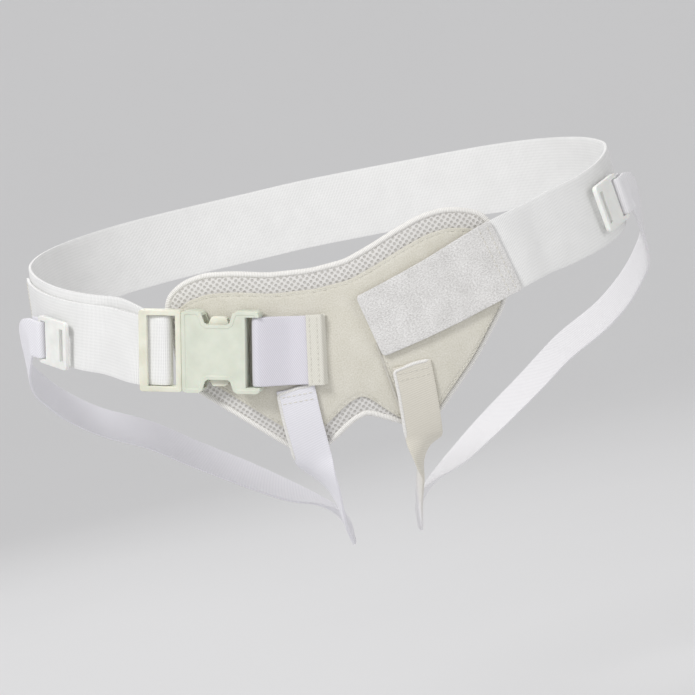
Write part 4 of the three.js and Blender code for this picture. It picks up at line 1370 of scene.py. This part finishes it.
make_panel()
make_facing()
make_flap()
make_binding()
make_grip_strap()
make_belt()
make_tab()
make_leg_strap("right", TAPE_WHITE)
# The left strap's front end is painted cream as shade.
make_leg_strap("left", TAPE_WHITE_SHADED_FRONT)
make_socket()
make_plug()
make_clip("right")
make_clip("left")


# Studio, in metres: a pale round bowl of floor and wall, soft lights and the camera
FLOOR_LEVEL = -0.36
FLOOR_RADIUS = 2.6
COVE_RADIUS = 1.2
WALL_RISE = 2.4


def make_stage():
    bpy.ops.mesh.primitive_circle_add(
        vertices=96, radius=FLOOR_RADIUS, fill_type="NGON", location=(0, 0, FLOOR_LEVEL))
    floor = bpy.context.object
    bpy.ops.object.transform_apply(location=True)
    start_edit()
    bpy.ops.mesh.select_mode(type="EDGE")
    bpy.ops.mesh.region_to_loop()
    radius = FLOOR_RADIUS
    turns = spread(0, pi / 2, 8)
    for before, turn in zip(turns, turns[1:]):
        grown = FLOOR_RADIUS + COVE_RADIUS * sin(turn)
        rise = COVE_RADIUS * (cos(before) - cos(turn))
        bpy.ops.mesh.extrude_region_move(TRANSFORM_OT_translate={"value": (0, 0, rise)})
        bpy.ops.transform.resize(value=(grown / radius, grown / radius, 1), center_override=(0, 0, 0))
        radius = grown
    bpy.ops.mesh.extrude_region_move(TRANSFORM_OT_translate={"value": (0, 0, WALL_RISE)})
    bpy.ops.mesh.select_all(action="SELECT")
    bpy.ops.mesh.normals_make_consistent(inside=True)
    end_edit()
    bpy.ops.object.shade_smooth_by_angle(angle=radians(60))
    material, tree, shader, place = new_material("studio paper, pale grey", on_threads=False)
    fibres = add_node(tree, "ShaderNodeTexNoise", {"Scale": 3, "Detail": 2}, {"Vector": place})
    paper = add_node(
        tree, "ShaderNodeValToRGB", {"tones": [(0, "#A8A8A9"), (1, "#ACACAD")]}, {"Fac": fibres.outputs["Fac"]})
    set_node(
        tree, shader, {"Roughness": 0.95, "Emission Color": paint("#D6D6D7"), "Emission Strength": 0.48},
        {"Base Color": paper.outputs["Color"]})
    floor.name = "studio_floor"
    floor.data.materials.append(material)


# Name, place, height aimed at, size and watts
LIGHTS = [
    ("key", (-0.9, -1.5, 1.3), -0.03, 0.6, 23),
    ("fill", (1.5, -1.3, 0.4), -0.03, 1.0, 5),
    ("top", (0.1, 0.5, 1.8), 0, 1.2, 9),
    ("back", (-0.6, 1.7, 0.9), 0, 1.2, 7),
]


def light_stage():
    for name, place, aim, size, watts in LIGHTS:
        light = bpy.data.lights.new(name, "AREA")
        light.shape = "DISK"
        light.size = size
        light.energy = watts
        lamp = bpy.data.objects.new(name, light)
        bpy.context.collection.objects.link(lamp)
        lamp.location = place
        lamp.rotation_euler = (Vector((0, 0, aim)) - Vector(place)).to_track_quat("-Z", "Y").to_euler()
    world = bpy.data.worlds.new("studio")
    world.use_nodes = True
    sky = world.node_tree.nodes["Background"].inputs
    sky["Color"].default_value = paint("#F7F5F2")
    sky["Strength"].default_value = 0.38
    bpy.context.scene.world = world
    bpy.context.scene.view_settings.view_transform = "Standard"


CAMERA_TARGET = Vector((0.0, -0.02, -0.05))
CAMERA_DISTANCE = 1.28
CAMERA_ELEVATION = radians(3)
CAMERA_ROLL = radians(12)


def place_camera():
    camera = bpy.data.objects.new("camera", bpy.data.cameras.new("camera"))
    bpy.context.collection.objects.link(camera)
    camera.data.lens = 120
    camera.data.sensor_width = 36
    away = Vector((0, -cos(CAMERA_ELEVATION), sin(CAMERA_ELEVATION)))
    camera.location = CAMERA_TARGET + away * CAMERA_DISTANCE
    aim = (-away).to_track_quat("-Z", "Y")
    camera.rotation_euler = (aim.to_matrix() @ Matrix.Rotation(-CAMERA_ROLL, 3, "Z")).to_euler()
    return camera


make_stage()
light_stage()
camera = place_camera()
bpy.context.scene.camera = camera
